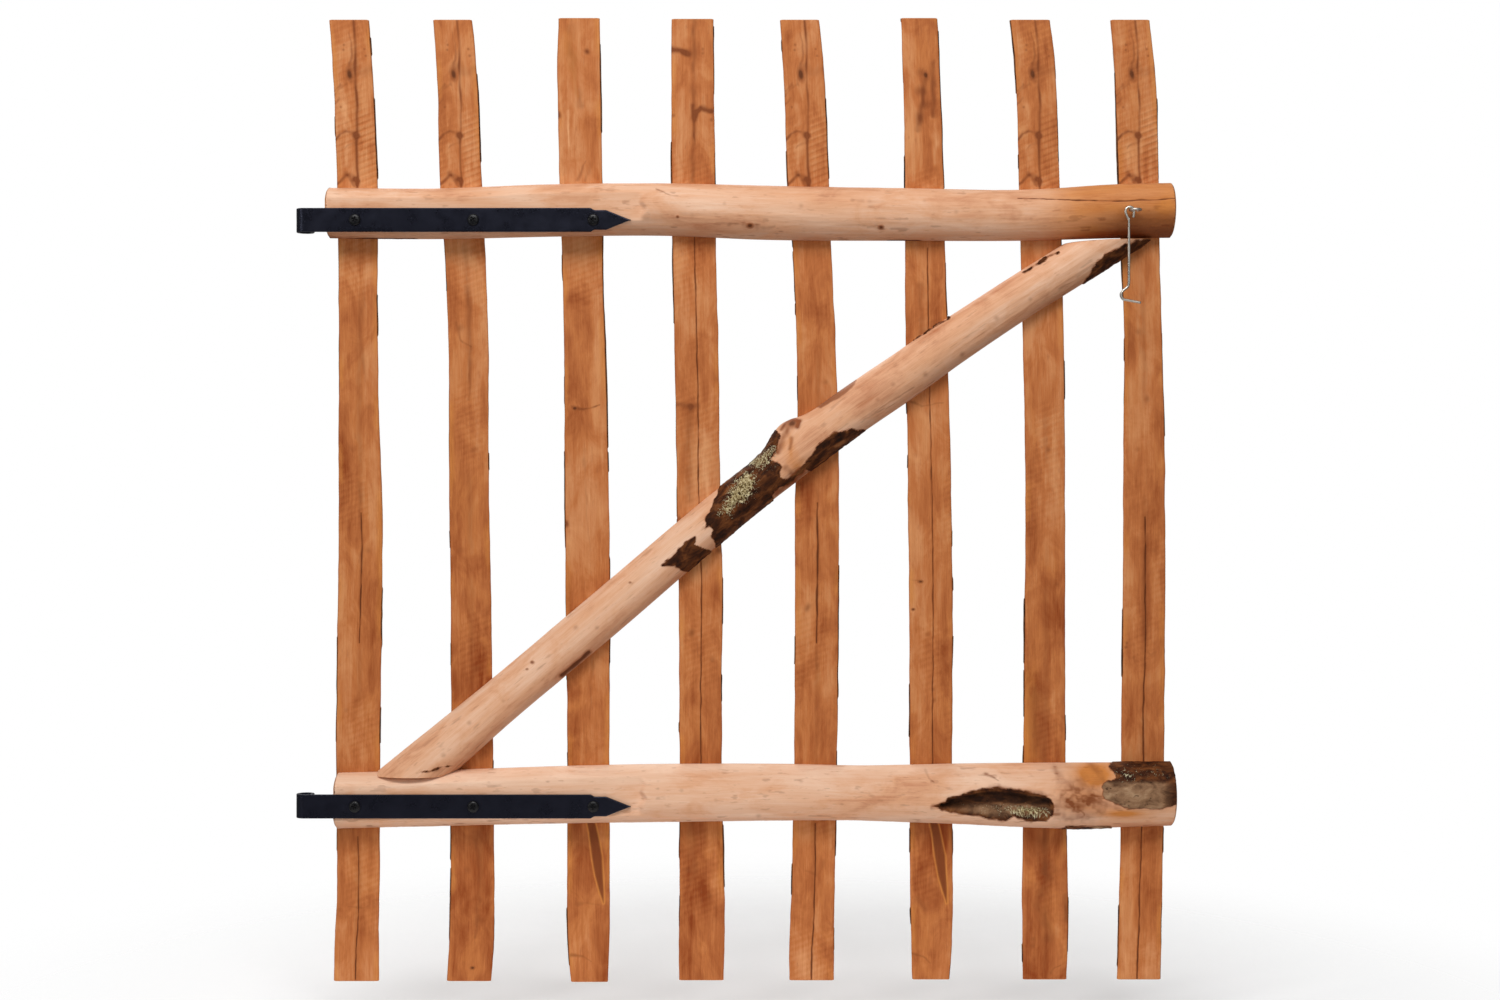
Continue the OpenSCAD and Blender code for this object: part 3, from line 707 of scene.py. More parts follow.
def slat(number):
    node = f"slat_{number}"
    low, high = box_mm(node)
    bottom, top = low[2], high[2]
    places = np.linspace(bottom + 0.5, top - 0.5, 60)
    left, right = cuts(node, 2, places)
    middle = flowing((left[:, 0] + right[:, 0]) / 2, SLAT_ROWS, 14)[:, None]
    half = flowing((right[:, 0] - left[:, 0]) / 2, SLAT_ROWS, 10)[:, None]
    depth = flowing(right[:, 1], SLAT_ROWS, 20)[:, None]
    heights = np.linspace(bottom, top, SLAT_ROWS)
    z = heights[:, None]
    turn = np.linspace(0, math.pi, SLAT_BACK + 1)[:-1]
    across = np.concatenate([np.linspace(-1, 1, SLAT_FRONT + 1)[:-1], np.cos(turn)])[None, :]
    back = np.concatenate([np.zeros(SLAT_FRONT), np.sin(turn)])[None, :]
    wander = 0.5 * rough(z / 34, across * 1.2, 0.5 * number, 3, 3)
    x = middle + across * (half + wander * np.abs(across) ** 8)
    rounding = 0.7 * np.abs(across) ** 24 * (back < 0.3)
    grid = with_ends(np.stack([x, depth * back + rounding + 0 * z, z + 0 * across], -1), 0.6)
    x, y, z = grid[..., 0], grid[..., 1], grid[..., 2]
    end = end_rows(grid)
    across = np.repeat(across, len(grid), 0)
    s = x - np.interp(z, heights, middle[:, 0])
    front = 1 - step(0.5, 3.0, y)

    face = Surface(s, z, end)
    marks = face.marks
    # Tone from the stations, with their painted light towards the top, and random tone on top of it
    marks["tone"] += stations(SLAT_TONES_AND_LIGHT[number], z) + 0.25 * noise(s / 16, 0, z / 110, number)
    marks["saw"] += 0.35 * step(0.0, 0.5, noise(s / 40, 0, z / 90, number + 40))
    if number in FORKED:
        forked_top(face)
        pith = stations([(-570, 0), (-200, 1), (380, 0.5), (500, 3.5), (570, 6)], z)
        line = s - pith - 0.8 * noise(0, 0, z / 12, 5)
        marks["stain_and_shade"] += (0.7 + 0.4 * noise(0, 0, z / 20, 6)) * step(320, 380, z) * bump(line, 1.5)
        marks["stain_and_shade"] += 0.3 * bump(line, 4) * step(-0.3, 0.6, noise(0, 0, z / 70, number + 7))
    OWN_MARKS[number - 1](face)
    for mark in ("stain_and_shade", "saw", "warm"):
        marks[mark] *= front
    marks["knot"] = np.where(y > 1, -1, marks["knot"])
    marks["crack"] = np.where(y > 1, -1, marks["crack"])

    # Bast and thin bark left on the round back and along the edges
    marks["peeled"] = 0.8 * (1 - front)
    strips = rough(np.arctan2(y, s) * 3.2, number, z / 130, 90 + number, 3)
    soaked = rough(np.arctan2(y, s) * 5, 3, z / 90, number + 3)
    marks["stain_and_shade"] += (1 - front) * 0.6 * step(0.1, 0.9, soaked)
    bark_left = step(0.25, 0.6, noise(np.sign(across), 1, z / 45, number + 60))
    for side, above, below in EDGE_BARK[number]:
        ranged = step(above + 6, above - 6, z) * step(below - 6, below + 6, z)
        bark_left = np.maximum(bark_left, ranged * (across * side > 0))
    edge = step(0.94, 0.985, np.abs(across)) * bark_left
    marks["stain_and_shade"] += 0.4 * front * step(0.93, 1.0, np.abs(across))
    sapwood = step(0.1, 0.6, noise(across, 5, z / 50, number))
    marks["warm"] += 0.5 * front * step(0.6, 0.9, np.abs(across)) * sapwood
    face.at_least("bark", np.where(y > 0.4, np.clip(3 * (strips - 0.85), -1, 1), -1))
    face.at_least("bark", np.where(edge > 0, 1.2 * edge - 0.9, -1))
    marks["bark_hue"] += 0.6 * (1 - front)

    normal = grid_normals(grid)
    lift = front * (0.12 * rough(s / 2.2, 0, z / 30, number, 2) - 0.7 * step(0, 0.8, marks["crack"]))
    lift += front * 0.16 * marks["saw"] * np.sin((z - 0.38 * s) * 2 * math.pi / 3.8)
    lift += front * 0.35 * step(-0.6, 0.4, marks["knot"]) * noise(s / 1.5, 0, z / 1.5, 8)
    lift += (1 - front) * (0.7 * rough(s / 11, y / 11, z / 70, number + 9, 3)
                           + 0.9 * step(-0.05, 0.1, marks["bark"]))
    grid = grid + normal * (lift * (1 - end))[..., None]

    # Round sinks for the screws' heads in the back
    for hx, head_y, hz in SCREWS:
        dx, dz = grid[..., 0] - hx, grid[..., 2] - hz
        d = np.maximum(np.hypot(dx, dz), 1e-6)
        ring = (np.abs(d - HOLE_RADIUS) < HOLE_EDGE) & (y > 1)
        grid[..., 0] = np.where(ring, hx + dx * HOLE_RADIUS / d, grid[..., 0])
        grid[..., 2] = np.where(ring, hz + dz * HOLE_RADIUS / d, grid[..., 2])
        grid[..., 1] = np.where((d < HOLE_RADIUS - HOLE_EDGE) & (y > 1), head_y - 1.0, grid[..., 1])
    marks["ring"] = np.hypot(s, y) * MM
    marks["grain"] = np.stack([s + face.pushed, y, z], -1) * MM + number * 0.37
    piece = mesh_piece(f"{node}_wood", grid, marks, SLAT_WOOD)
    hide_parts(node)


for number in range(1, 9):
    slat(number)


# ---------------------------------------------------------------- rails

POLE_ROWS = 860
POLE_FRONT = 90
POLE_BACK = 16
RAIL_RADIUS = 33
# Depth of the flat that each strap lies on, and the place where it ends
SEAT = 26
SEAT_END = -130
# Behind this depth a pole is flat, and its grain is read well away from the round front's
BACK_FROM = -0.6
BACK_GRAIN = 200


def half_round(front, back):
    """Section from the upper edge over the round front to the lower edge and back: (up, out)."""
    turn = np.linspace(0, math.pi, front + 1)[:-1]
    up = np.concatenate([np.cos(turn), np.linspace(-1, 1, back + 1)[:-1]])
    out = np.concatenate([np.sin(turn), np.zeros(back)])
    return up[None, :], out[None, :]


def knife_flats(along, turn, length, seed):
    """Shallow flats left by the peeling knife, long ones and short ones."""
    long_flats = 0.5 * np.abs(noise(along / length, turn * 3, 0, seed))
    return long_flats + 0.3 * np.abs(noise(along / 60, turn * 6, 0, seed + 1))


def grain_across(face, y, up, turn, radius):
    """Grain across a pole: round its front, and by height on its sawn back."""
    return np.where(y > BACK_FROM, up + BACK_GRAIN, turn * radius + face.pushed)


def top_rail_marks(face):
    face.knot(0, 323, 4.2, 2.8)
    face.stain_and_shade([(0, 323), (-14, 325), (-26, 324)], 4, 0.4)
    face.stain_and_shade([(0, 323), (16, 321), (30, 322)], 4, 0.35)
    face.knot(154, 321, 3.4, 2.4)
    face.stain_and_shade([(154, 321), (138, 322)], 4, 0.4)
    face.knot(-85, 333, 1.8, 1.6)
    face.stain_and_shade([(-122, 333), (-95, 336), (-62, 334)], 7, 0.25, 0.2)
    face.stain_and_shade([(-109, 366), (-98, 360), (-80, 356)], 1.2, 0.5)
    face.crack([(315, 355), (370, 353), (430, 351), (470, 352), (505, 354)], 0.5)
    face.streak("warm", [(485, 345), (492, 343)], 8, 0.7, 0)
    face.marks["warm"] += 0.7 * step(320, 410, face.x)
    face.marks["tone"] -= 0.5 * step(320, 410, face.x)
    face.marks["stain_and_shade"] += 0.75 * step(370, 450, face.x) * step(352, 328, face.z)
    face.stain_and_shade([(120, 351), (170, 348)], 3, 0.3, 0)
    face.spots("stain_and_shade", [(60, 345), (242, 338), (205, 352), (-30, 348), (330, 330)], 3, 0.3)


HOLLOW = [(214, -359), (230, -354), (232, -349), (248, -346), (260, -341), (272, -338.5), (288, -337),
          (319, -340), (342, -345), (353, -351), (355, -359), (355, -369), (348, -376.5), (333, -378),
          (319, -375.5), (310, -371), (301, -376.5), (283, -376), (274, -372), (252, -369), (232, -365.5)]
RAIL_BARK = [(434, -290), (433, -308), (423, -315), (430, -326), (414, -332), (411, -346), (418, -350),
             (429, -354), (434, -360), (454, -361), (479, -363), (490, -359), (512, -354), (512, -290)]
SWIRLS = ([(360, -318), (364, -328), (373, -336), (386, -340)],
          [(358, -366), (372, -373), (396, -371), (412, -364)],
          [(386, -330), (396, -338), (398, -350), (388, -358), (376, -354)],
          [(402, -312), (411, -320), (413, -329)],
          [(366, -346), (372, -356), (384, -362)],
          [(404, -352), (418, -356), (434, -362)])


def hollow_depth(face):
    """Distance in mm inside the ragged edge of the rotted hollow."""
    return face.inside(HOLLOW) + 0.8 * rough(face.x / 5, 0, face.z / 5, 12)


def bottom_rail_marks(face):
    hollow = hollow_depth(face)
    face.at_least("bark", np.clip(hollow / 4, -1, 1))
    floor = bump(face.x - 300, 42) * bump(face.z + 367, 6.5) * step(0.5, 3, hollow)
    face.marks["bark_hue"] += np.clip(1.2 * floor, 0, 0.9)
    # Painted shade: the inside of the hollow is darkened, all but its lower floor, for the shade under its
    # overhanging upper rim
    face.marks["tone"] -= 1.8 * step(0.5, 4, hollow) * np.clip(1 - 1.6 * floor, 0, 1)
    speckle = bump(face.x - 332, 20) * bump(face.z + 370, 6) + 0.6 * floor
    face.at_least("lichen", np.where(hollow > 1, speckle - 0.75, -1))
    face.stain_and_shade([(214, -359), (252, -346), (288, -336), (342, -344), (356, -358)], 3, 0.6, 0)
    face.patch("bark", RAIL_BARK, 1.6)
    face.marks["bark_hue"] += step(-329, -334, face.z) * step(400, 410, face.x) * step(500, 470, face.x)
    moss = bump(face.x - 438, 16) * bump(face.z + 322, 10)
    moss += 0.8 * bump(face.x - 475, 26) * bump(face.z + 322, 9)
    face.at_least("lichen", np.where(face.x > 400, 0.5 * moss - 0.75, -1))
    face.patch("bark", [(372, -384), (425, -385), (440, -398), (365, -398)], 0.8)

    # Swirled knotty wood between the hollow and the bark
    curl = rough(face.x / 12, 0, face.z / 9, 71, 3)
    zone = bump(face.x - 386, 28) * bump(face.z + 352, 22)
    face.marks["stain_and_shade"] += zone * (0.35 + 0.6 * bump(curl - 0.15, 0.3))
    face.marks["warm"] += 0.5 * zone
    face.marks["warm"] += 1.1 * bump(face.x - 406, 24) * bump(face.z + 322, 14)
    face.marks["warm"] += 1.1 * bump(face.x - 436, 30) * bump(face.z + 368, 5.5)
    for path in SWIRLS:
        face.stain_and_shade(path, 5, 0.4, 0.3)
    face.stain_and_shade([(208, -318), (211, -327), (216, -330)], 2.2, 0.6)
    face.stain_and_shade([(276, -321), (287, -326), (292, -330)], 2.0, 0.6)
    face.marks["tone"] += 0.2 - 0.4 * step(395, 440, face.x) + 0.2 * step(-345, -325, face.z)
    face.spots("stain_and_shade", [(60, -330), (-40, -352), (-80, -340), (140, -345), (10, -372)], 3, 0.3)


def rail(node, own_marks, seed):
    low, high = box_mm(node)
    places = np.linspace(low[0] + 0.5, high[0] - 0.5, 60)
    under, over = cuts(node, 0, places)
    centre = flowing((under[:, 2] + over[:, 2]) / 2, POLE_ROWS, 12)[:, None]
    radius = flowing((over[:, 2] - under[:, 2]) / 2, POLE_ROWS, 12)[:, None]
    rows = np.linspace(low[0], high[0], POLE_ROWS)
    x = rows[:, None]
    up, out = half_round(POLE_FRONT, POLE_BACK)
    grid = with_ends(np.stack([x + 0 * up, -radius * out, centre + radius * up], -1), 1.5)
    x, y, z = grid[..., 0], grid[..., 1], grid[..., 2]
    end = end_rows(grid)
    above = z - np.interp(x, rows, centre[:, 0])
    turn = np.arctan2(above, -y + 0.01)

    face = Surface(x, z, end)
    marks = face.marks
    marks["tone"] += 0.12 + 0.3 * rough(x / 90, turn * 1.6, 0, seed, 2)
    marks["warm"] += 0.12 * noise(x / 50, turn * 2, 0, seed + 4)
    own_marks(face)
    marks["stain_and_shade"] += 0.35 * step(0.7, 1.1, rough(x / 18, turn * 7, 0, seed + 5, 3))
    # Painted shade along the lower edge of the pole, away from the light from above
    marks["stain_and_shade"] += 0.35 * step(-0.5, -1.2, turn)
    edge = step(-1.25, -1.5, turn) * step(0.0, 0.5, noise(x / 60, 0, 0, seed + 8))
    face.at_least("bark", np.where(edge > 0, 1.4 * edge - 1, -1))
    sawn_back = step(-1.0, -0.2, y)
    face.bare(sawn_back)

    normal = grid_normals(grid)
    lift = 0.25 - knife_flats(x, turn, 150, seed + 1) + 0.12 * rough(x / 10, turn * 16, 0, seed + 3, 2)
    lift += 1.3 * step(-0.05, 0.12, marks["bark"]) * (x > 360) * (1 + 0.2 * rough(x / 4, z / 4, 0, 9, 2))
    lift += 0.8 * step(-0.6, 0.2, marks["knot"])
    lift += 0.25 * np.clip(marks["stain_and_shade"], 0, 1) * noise(x / 2, 0, z / 2, 6)
    lift -= 0.8 * step(0, 0.8, marks["crack"])
    lift += 0.9 * step(0.0, 0.25, marks["lichen"])
    if node == "bottom_rail":
        hollow = hollow_depth(face)
        bowl = 10.5 * step(-0.5, 7, hollow + 2.5 * step(-362, -340, z) * (hollow > 0))
        bowl += 1.2 * rough(x / 6, 0, z / 6, 14) * step(2, 6, hollow)
        lift = np.where(hollow > -0.5, -bowl, lift + 0.6 * bump(hollow + 3, 3))
    grid = grid + normal * (lift * (1 - end) * (1 - sawn_back))[..., None]
    seat = step(SEAT_END + 8, SEAT_END, grid[..., 0] + 3 * noise(0, 0, z / 9, seed + 6))
    grid[..., 1] = np.where(grid[..., 1] < -SEAT, grid[..., 1] * (1 - seat) - SEAT * seat, grid[..., 1])
    across = grain_across(face, y, above, turn, RAIL_RADIUS)
    marks["ring"] = np.hypot(above, y) * MM
    marks["grain"] = np.stack([across, y * 0, x], -1) * MM + seed * 0.29
    piece = mesh_piece(f"{node}_wood", grid, marks, POLE_WOOD)
    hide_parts(node)


rail("top_rail", top_rail_marks, 3)
rail("bottom_rail", bottom_rail_marks, 11)


# ---------------------------------------------------------------- brace

BRACE_ROWS = 1000
BRACE_FRONT = 76
BRACE_BACK = 14
BRACE_RADIUS = 27
# Stations: place across the leaf, height of the brace's middle, its radius
BRACE_SHAPE = [(-440, -360, 31), (-394, -322, 30.5), (-300, -242, 27), (-168, -131, 27), (-42, -23, 26),
               (19, 26, 25.5), (105, 94, 28), (185, 149, 28), (236, 185, 27), (322, 242, 26),
               (372, 273, 26), (427, 308, 26), (510, 361, 26)]
# The foot is sawn level at this height, and coped with this radius over the bottom rail, whose
# axis below the foot is given by its place, height and slope
FOOT_Z = -327
RAIL_CLEAR = 33.6
RAIL_AXIS = (-394, -354.6, 0.025)
# The head's cut under the top rail: place, height and slope
HEAD = (427, 307, 0.044)
# The swelling round the branch scar on the upper edge
SCAR_X = 60
SCAR_HEIGHT = 12
SCAR_HALF_LENGTH = 20

BARK_MAIN = [(-32, 22), (-20, 44), (10, 70), (30, 84), (37, 74), (32, 57), (26, 48), (37, 38), (34, 27),
             (42, 23), (59, 36), (66, 42), (62, 33), (49, 22), (34, 15), (26, 4), (22, -14), (-20, -50),
             (-40, -56), (-46, -42), (-42, -35), (-48, -30), (-54, -37), (-52, -25), (-44, -6)]
BARK_RIGHT = [(63, 38), (74, 57), (82, 68), (99, 79), (118, 82), (139, 82), (132, 60), (80, 30)]
BARK_LEFT = [(-65, -44), (-79, -54), (-94, -67), (-104, -77), (-88, -78), (-80, -84), (-60, -90), (-40, -70),
             (-48, -59), (-58, -56), (-68, -53)]
BARK_HEAD = [(396, 256), (409, 280), (418, 289), (442, 300), (459, 307), (482, 312), (482, 290), (440, 262),
             (410, 240)]
BARK_TOP = [(75, 110), (84, 109), (112, 124), (124, 136), (130, 150), (100, 136)]
LICHEN_LOW = [(-32, -14), (-24, 6), (-12, 24), (0, 33), (7, 22), (2, 6), (-10, -2), (-24, -16)]
LICHEN_HIGH = [(4, 42), (14, 54), (28, 58), (26, 48), (12, 38)]


def curve(column, at):
    """A column of BRACE_SHAPE on the smooth curve through its stations, with its slope."""
    shape = np.array(BRACE_SHAPE, float)
    places, values = shape[:, 0], shape[:, column]
    ahead = np.minimum(np.arange(len(shape)) + 1, len(shape) - 1)
    behind = np.maximum(np.arange(len(shape)) - 1, 0)
    slopes = (values[ahead] - values[behind]) / (places[ahead] - places[behind])
    k = np.clip(np.searchsorted(places, at) - 1, 0, len(shape) - 2)
    span = places[k + 1] - places[k]
    t = (at - places[k]) / span
    return ((2 * t ** 3 - 3 * t ** 2 + 1) * values[k] + (t ** 3 - 2 * t ** 2 + t) * slopes[k] * span
            + (3 * t ** 2 - 2 * t ** 3) * values[k + 1] + (t ** 3 - t ** 2) * slopes[k + 1] * span)


def brace_points(x, up, out):
    """Points of the brace's surface where its section at place x has the half-round's (up, out)."""
    radius = curve(2, x)
    lean = np.arctan((curve(1, x + 1) - curve(1, x - 1)) / 2)
    scar = SCAR_HEIGHT * bump(x - SCAR_X, SCAR_HALF_LENGTH) * np.maximum(up, 0) ** 3
    rise = (radius + scar) * up
    return np.stack([x - rise * np.sin(lean), -radius * out, curve(1, x) + rise * np.cos(lean)], -1)


def foot_z(x, y):
    """Underside of the foot: sawn level, and coped over the round of the bottom rail."""
    axis = RAIL_AXIS[1] + RAIL_AXIS[2] * (x - RAIL_AXIS[0])
    crest = axis + np.sqrt(np.maximum(RAIL_CLEAR ** 2 - y ** 2, 0))
    return np.where(y > -RAIL_CLEAR, np.maximum(crest, FOOT_Z), FOOT_Z)


def brace_marks(face):
    for outline in (BARK_MAIN, BARK_RIGHT, BARK_LEFT, BARK_HEAD):
        face.patch("bark", outline, 1.8)
    face.marks["stain_and_shade"] += 0.8 * step(-1, 1.5, face.inside(BARK_TOP) + rough(face.x / 6, 0, face.z / 6, 35))
    face.patch("lichen", LICHEN_LOW, 3, 12)
    face.patch("lichen", LICHEN_HIGH, 2, 16)
    face.knot(50, 90, 7, 5, 0.6)
    face.stain_and_shade([(38, 84), (44, 93), (52, 97), (59, 93), (57, 87)], 2.6, 1.5, 0.2)
    face.stain_and_shade([(46, 84), (38, 72), (34, 56)], 3.4, 1.0, 0)
    face.stain_and_shade([(50, 74), (46, 60)], 3, 0.8, 0)
    face.streak("warm", [(44, 84), (40, 66), (44, 44)], 14, 0.25, 0)
    face.stain_and_shade([(42, 38), (50, 30), (60, 36)], 3.4, 0.8, 0)
    face.stain_and_shade([(30, 8), (52, 24), (66, 36)], 5, 0.7, 0)
    face.streak("warm", [(46, 70), (52, 46), (60, 36)], 9, 0.5, 0)
    face.knot(-141, -97, 1.6, 1.4)
    face.knot(-256, -191, 2.4, 2.0)
    face.knot(-262, -199, 1.6, 1.4)
    face.crack([(-222, -208), (-205, -194), (-190, -180)], 1.6)
    face.streak("bark", [(236, 216), (214, 202), (195, 190)], 2.4, 1.4, 0.6)
    face.streak("bark", [(324, 268), (344, 282), (364, 292)], 4, 1.5, 0.4)
    face.spots("stain_and_shade", [(150, 118), (168, 136), (206, 148), (250, 172), (290, 214), (330, 236)], 3, 0.45)
    face.spots("stain_and_shade", [(-180, -150), (-205, -150), (-290, -236), (-330, -262), (-360, -300)], 3, 0.4)
    face.streak("bark", [(-392, -322), (-370, -316), (-350, -312)], 3, 1.2, 0.5)


def brace():
    up, out = half_round(BRACE_FRONT, BRACE_BACK)
    starts, ends = np.full(up.shape, -400.0), np.full(up.shape, 420.0)
    # Each line along the brace is run out until it meets the cuts
    for _ in range(25):
        p = brace_points(starts, up, out)
        starts = starts + 0.7 * (foot_z(p[..., 0], p[..., 1]) - p[..., 2])
        p = brace_points(ends, up, out)
        ends = ends + 0.7 * (HEAD[1] + (p[..., 0] - HEAD[0]) * HEAD[2] - p[..., 2])
    share = np.linspace(0, 1, BRACE_ROWS)[:, None]
    place = starts + (ends - starts) * share
    grid = with_ends(brace_points(place, up + 0 * share, out + 0 * share), 1.0)
    x, y, z = grid[..., 0], grid[..., 1], grid[..., 2]
    end = end_rows(grid)
    grid[:CAPS, :, 2] = np.maximum(z[:CAPS], foot_z(x[:CAPS], y[:CAPS]))
    spine = np.pad(place, ((CAPS, CAPS), (0, 0)), "edge")
    turn = np.repeat(np.arctan2(up, out + 1e-6), len(grid), 0)

    face = Surface(x, z, end)
    marks = face.marks
    marks["tone"] += 0.1 + 0.3 * rough(spine / 90, turn * 1.6, 0, 21, 2)
    marks["warm"] += 0.15 * noise(spine / 50, turn * 2, 0, 25)
    brace_marks(face)
    marks["bark"] = np.clip(marks["bark"], -1, 1)
    marks["stain_and_shade"] += 0.35 * step(0.65, 1.1, rough(spine / 18, turn * 6, 0, 26, 3))
    # Painted shade along the lower edge of the brace, away from the light from above
    marks["stain_and_shade"] += 0.4 * step(-0.45, -1.15, turn)
    sawn_back = step(-1.0, -0.2, y)
    face.bare(sawn_back)

    normal = grid_normals(grid)
    lift = 0.25 - knife_flats(spine, turn, 130, 27) + 0.12 * rough(spine / 10, turn * 14, 0, 29, 2)
    is_bark = step(-0.05, 0.12, marks["bark"])
    lift += 1.2 * is_bark * (1 + 0.35 * rough(x / 4, 0, z / 4, 30, 2))
    lift += 0.8 * step(-0.6, 0.3, marks["knot"]) - 0.8 * step(0, 0.8, marks["crack"])
    lift += 1.0 * step(0.1, 0.5, marks["lichen"] + 0.9 * noise(x / 3, 0, z / 3, 33))
    fade = step(0, 12, spine - starts) * step(0, 12, ends - spine)
    grid = grid + normal * (lift * (1 - end) * (1 - sawn_back) * fade)[..., None]
    across = grain_across(face, y, up * BRACE_RADIUS, turn, BRACE_RADIUS)
    marks["ring"] = np.hypot(z - curve(1, x), y) * MM
    marks["grain"] = np.stack([across, y * 0, 1.3 * spine], -1) * MM + 5.1
    piece = mesh_piece("brace_wood", grid, marks, POLE_WOOD)
    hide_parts("brace")


brace()


# ---------------------------------------------------------------- hinges, screws and hook

THICKNESS = 4.0
ROLL = math.radians(305)
# From the strap's tip to its shoulders, and the length of its point
SHOULDER = 45
POINT = 29
WIRE_RADIUS = 1.5
LOOP_RADIUS = 5
CROOK_REACH = 10.4


def swept(name, spine, across, along_z, section, material, body=LEAF):
    """A piece whose section, points (n, w), follows a spine: n along `across`, w along `along_z`."""
    grid = spine[:, None, :] + section[..., 0:1] * across[:, None, :]
    grid = grid + section[..., 1:2] * along_z[:, None, :]
    return mesh_piece(name, grid, {}, material, body)


def strap_hinge(side):
    """Strap with its rolled eye: one flat bar bent round the pin, spear-pointed at the other end."""
    node = f"{side}_strap_hinge"
    low, high = box_mm(node)
    outer = (high[1] - low[1]) / 2
    pin = np.array([low[0] + outer, low[1] + outer, (low[2] + high[2]) / 2])
    width, tip = (high[2] - low[2]) / 2, high[0]
    reach = outer - THICKNESS / 2
    turn = np.linspace(-math.pi / 2 - ROLL, -math.pi / 2, 90)
    roll = np.stack([reach * np.cos(turn), reach * np.sin(turn), 0 * turn], -1) + pin
    x = np.concatenate([np.arange(pin[0] + 2, tip - 50, 2.0), np.arange(tip - 50, tip, 0.5), [tip - 0.1]])
    bar = np.stack([x, np.full(x.shape, pin[1] - reach), np.full(x.shape, pin[2])], -1)
    spine = np.concatenate([roll, bar])
    normal = np.concatenate([np.stack([np.cos(turn), np.sin(turn), 0 * turn], -1),
                             np.tile([0.0, -1.0, 0.0], (len(x), 1))])
    half = np.full(len(spine), width)
    before = tip - spine[len(turn):, 0]
    shoulder = width * (1 - 0.17 * step(SHOULDER + 3, SHOULDER - 3, before))
    half[len(turn):] = np.minimum(shoulder, np.maximum(0.83 * width * before / POINT, 0.3))
    corner = np.full(len(spine), 0.6)
    corner[len(turn):] += 0.9 * step(SHOULDER + 5, SHOULDER - 5, before)
    corner = np.minimum(corner, half * 0.9)

    quarter = np.linspace(0, math.pi / 2, 6)
    face = np.linspace(-1, 1, 16)[1:-1]
    rows = []
    for k in range(len(spine)):
        r = corner[k]
        n, w = THICKNESS / 2 - r, half[k] - r
        front = np.stack([np.full(face.shape, n + r), face * w], -1)
        rear = np.stack([np.full(face.shape, -n - r), -face * w], -1)
        corners = ((1, 1, 0), (-1, 1, math.pi / 2), (-1, -1, math.pi), (1, -1, 1.5 * math.pi))
        arcs = [np.stack([sn * n + r * np.cos(quarter + a), sw * w + r * np.sin(quarter + a)], -1)
                for sn, sw, a in corners]
        rows.append(np.concatenate([front, arcs[0], arcs[1], rear, arcs[2], arcs[3]]))
    section = np.array(rows)
    waves = 0.05 * rough(spine[:, None, 0] / 22, section[..., 1] / 9, pin[2], 5, 3)
    section[..., 0] += waves * np.sign(section[..., 0])
    up = np.tile([0.0, 0.0, 1.0], (len(spine), 1))
    piece = swept(f"{node}_forged", spine, normal, up, section, BLACK)
    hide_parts(node)


def strap_screw(node, turned):
    """Pan-head screw with a cross recess, seen from its head."""
    low, high = box_mm(node)
    head = (high[2] - low[2]) / 2
    place = np.array([(low[0] + high[0]) / 2, 0, (low[2] + high[2]) / 2])
    seat = low[1] + 3.4
    dome = np.linspace(0, math.pi / 2, 40)[:-1]
    profile = [(2.4, high[1] - 8), (2.4, seat), (head * 0.9, seat), (head, seat - 0.2)]
    profile += [(head * math.cos(t) ** 0.8, seat - 0.8 - 2.6 * math.sin(t)) for t in dome]
    radius, y = np.array(profile).T
    angle = np.linspace(0, 2 * math.pi, 97)[:-1][None, :]
    u = radius[:, None] * np.cos(angle + turned)
    v = radius[:, None] * np.sin(angle + turned)

    def bar(across, along):
        return step(0.95, 0.5, np.abs(across)) * step(3.6, 2.8, np.abs(along))

    recess = 1.7 * np.maximum(bar(u, v), bar(v, u)) * (y[:, None] < seat - 0.8)
    grid = np.stack([place[0] + radius[:, None] * np.cos(angle), y[:, None] + recess,
                     place[2] + radius[:, None] * np.sin(angle)], -1)
    piece = mesh_piece(f"{node}_head", grid, {}, BLACK_SCREW)
    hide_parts(node)


def smooth_path(points, steps):
    """Points on the smooth curve through a list of points."""
    p = np.array(points, float)
    p = np.concatenate([p[:1], p, p[-1:]])
    t = np.linspace(0, 1, steps + 1)[:-1, None]
    spans = [(2 * b + (c - a) * t + (2 * a - 5 * b + 4 * c - d) * t ** 2
              + (3 * b - a - 3 * c + d) * t ** 3) / 2 for a, b, c, d in zip(p, p[1:], p[2:], p[3:])]
    return np.concatenate(spans + [p[-1:]])


def wire(name, path, radius, side, body):
    """Round wire along a path, its ends cut and slightly rounded; `side` is never along the wire."""
    ahead = np.gradient(path, axis=0)
    ahead /= np.linalg.norm(ahead, axis=1, keepdims=True)
    first = np.cross(ahead, side)
    first /= np.linalg.norm(first, axis=1, keepdims=True)
    second = np.cross(ahead, first)
    lengths = np.concatenate([[0], np.cumsum(np.linalg.norm(np.diff(path, axis=0), axis=1))])
    from_end = np.minimum(lengths, lengths[-1] - lengths)
    size = radius * (0.72 + 0.28 * np.sqrt(step(-0.1, 0.8, from_end)))
    angle = -np.linspace(0, 2 * math.pi, 33)[:-1][None, :]
    section = np.stack([np.cos(angle) * size[:, None], np.sin(angle) * size[:, None]], -1)
    return swept(name, path, first, second, section, ZINC, body)


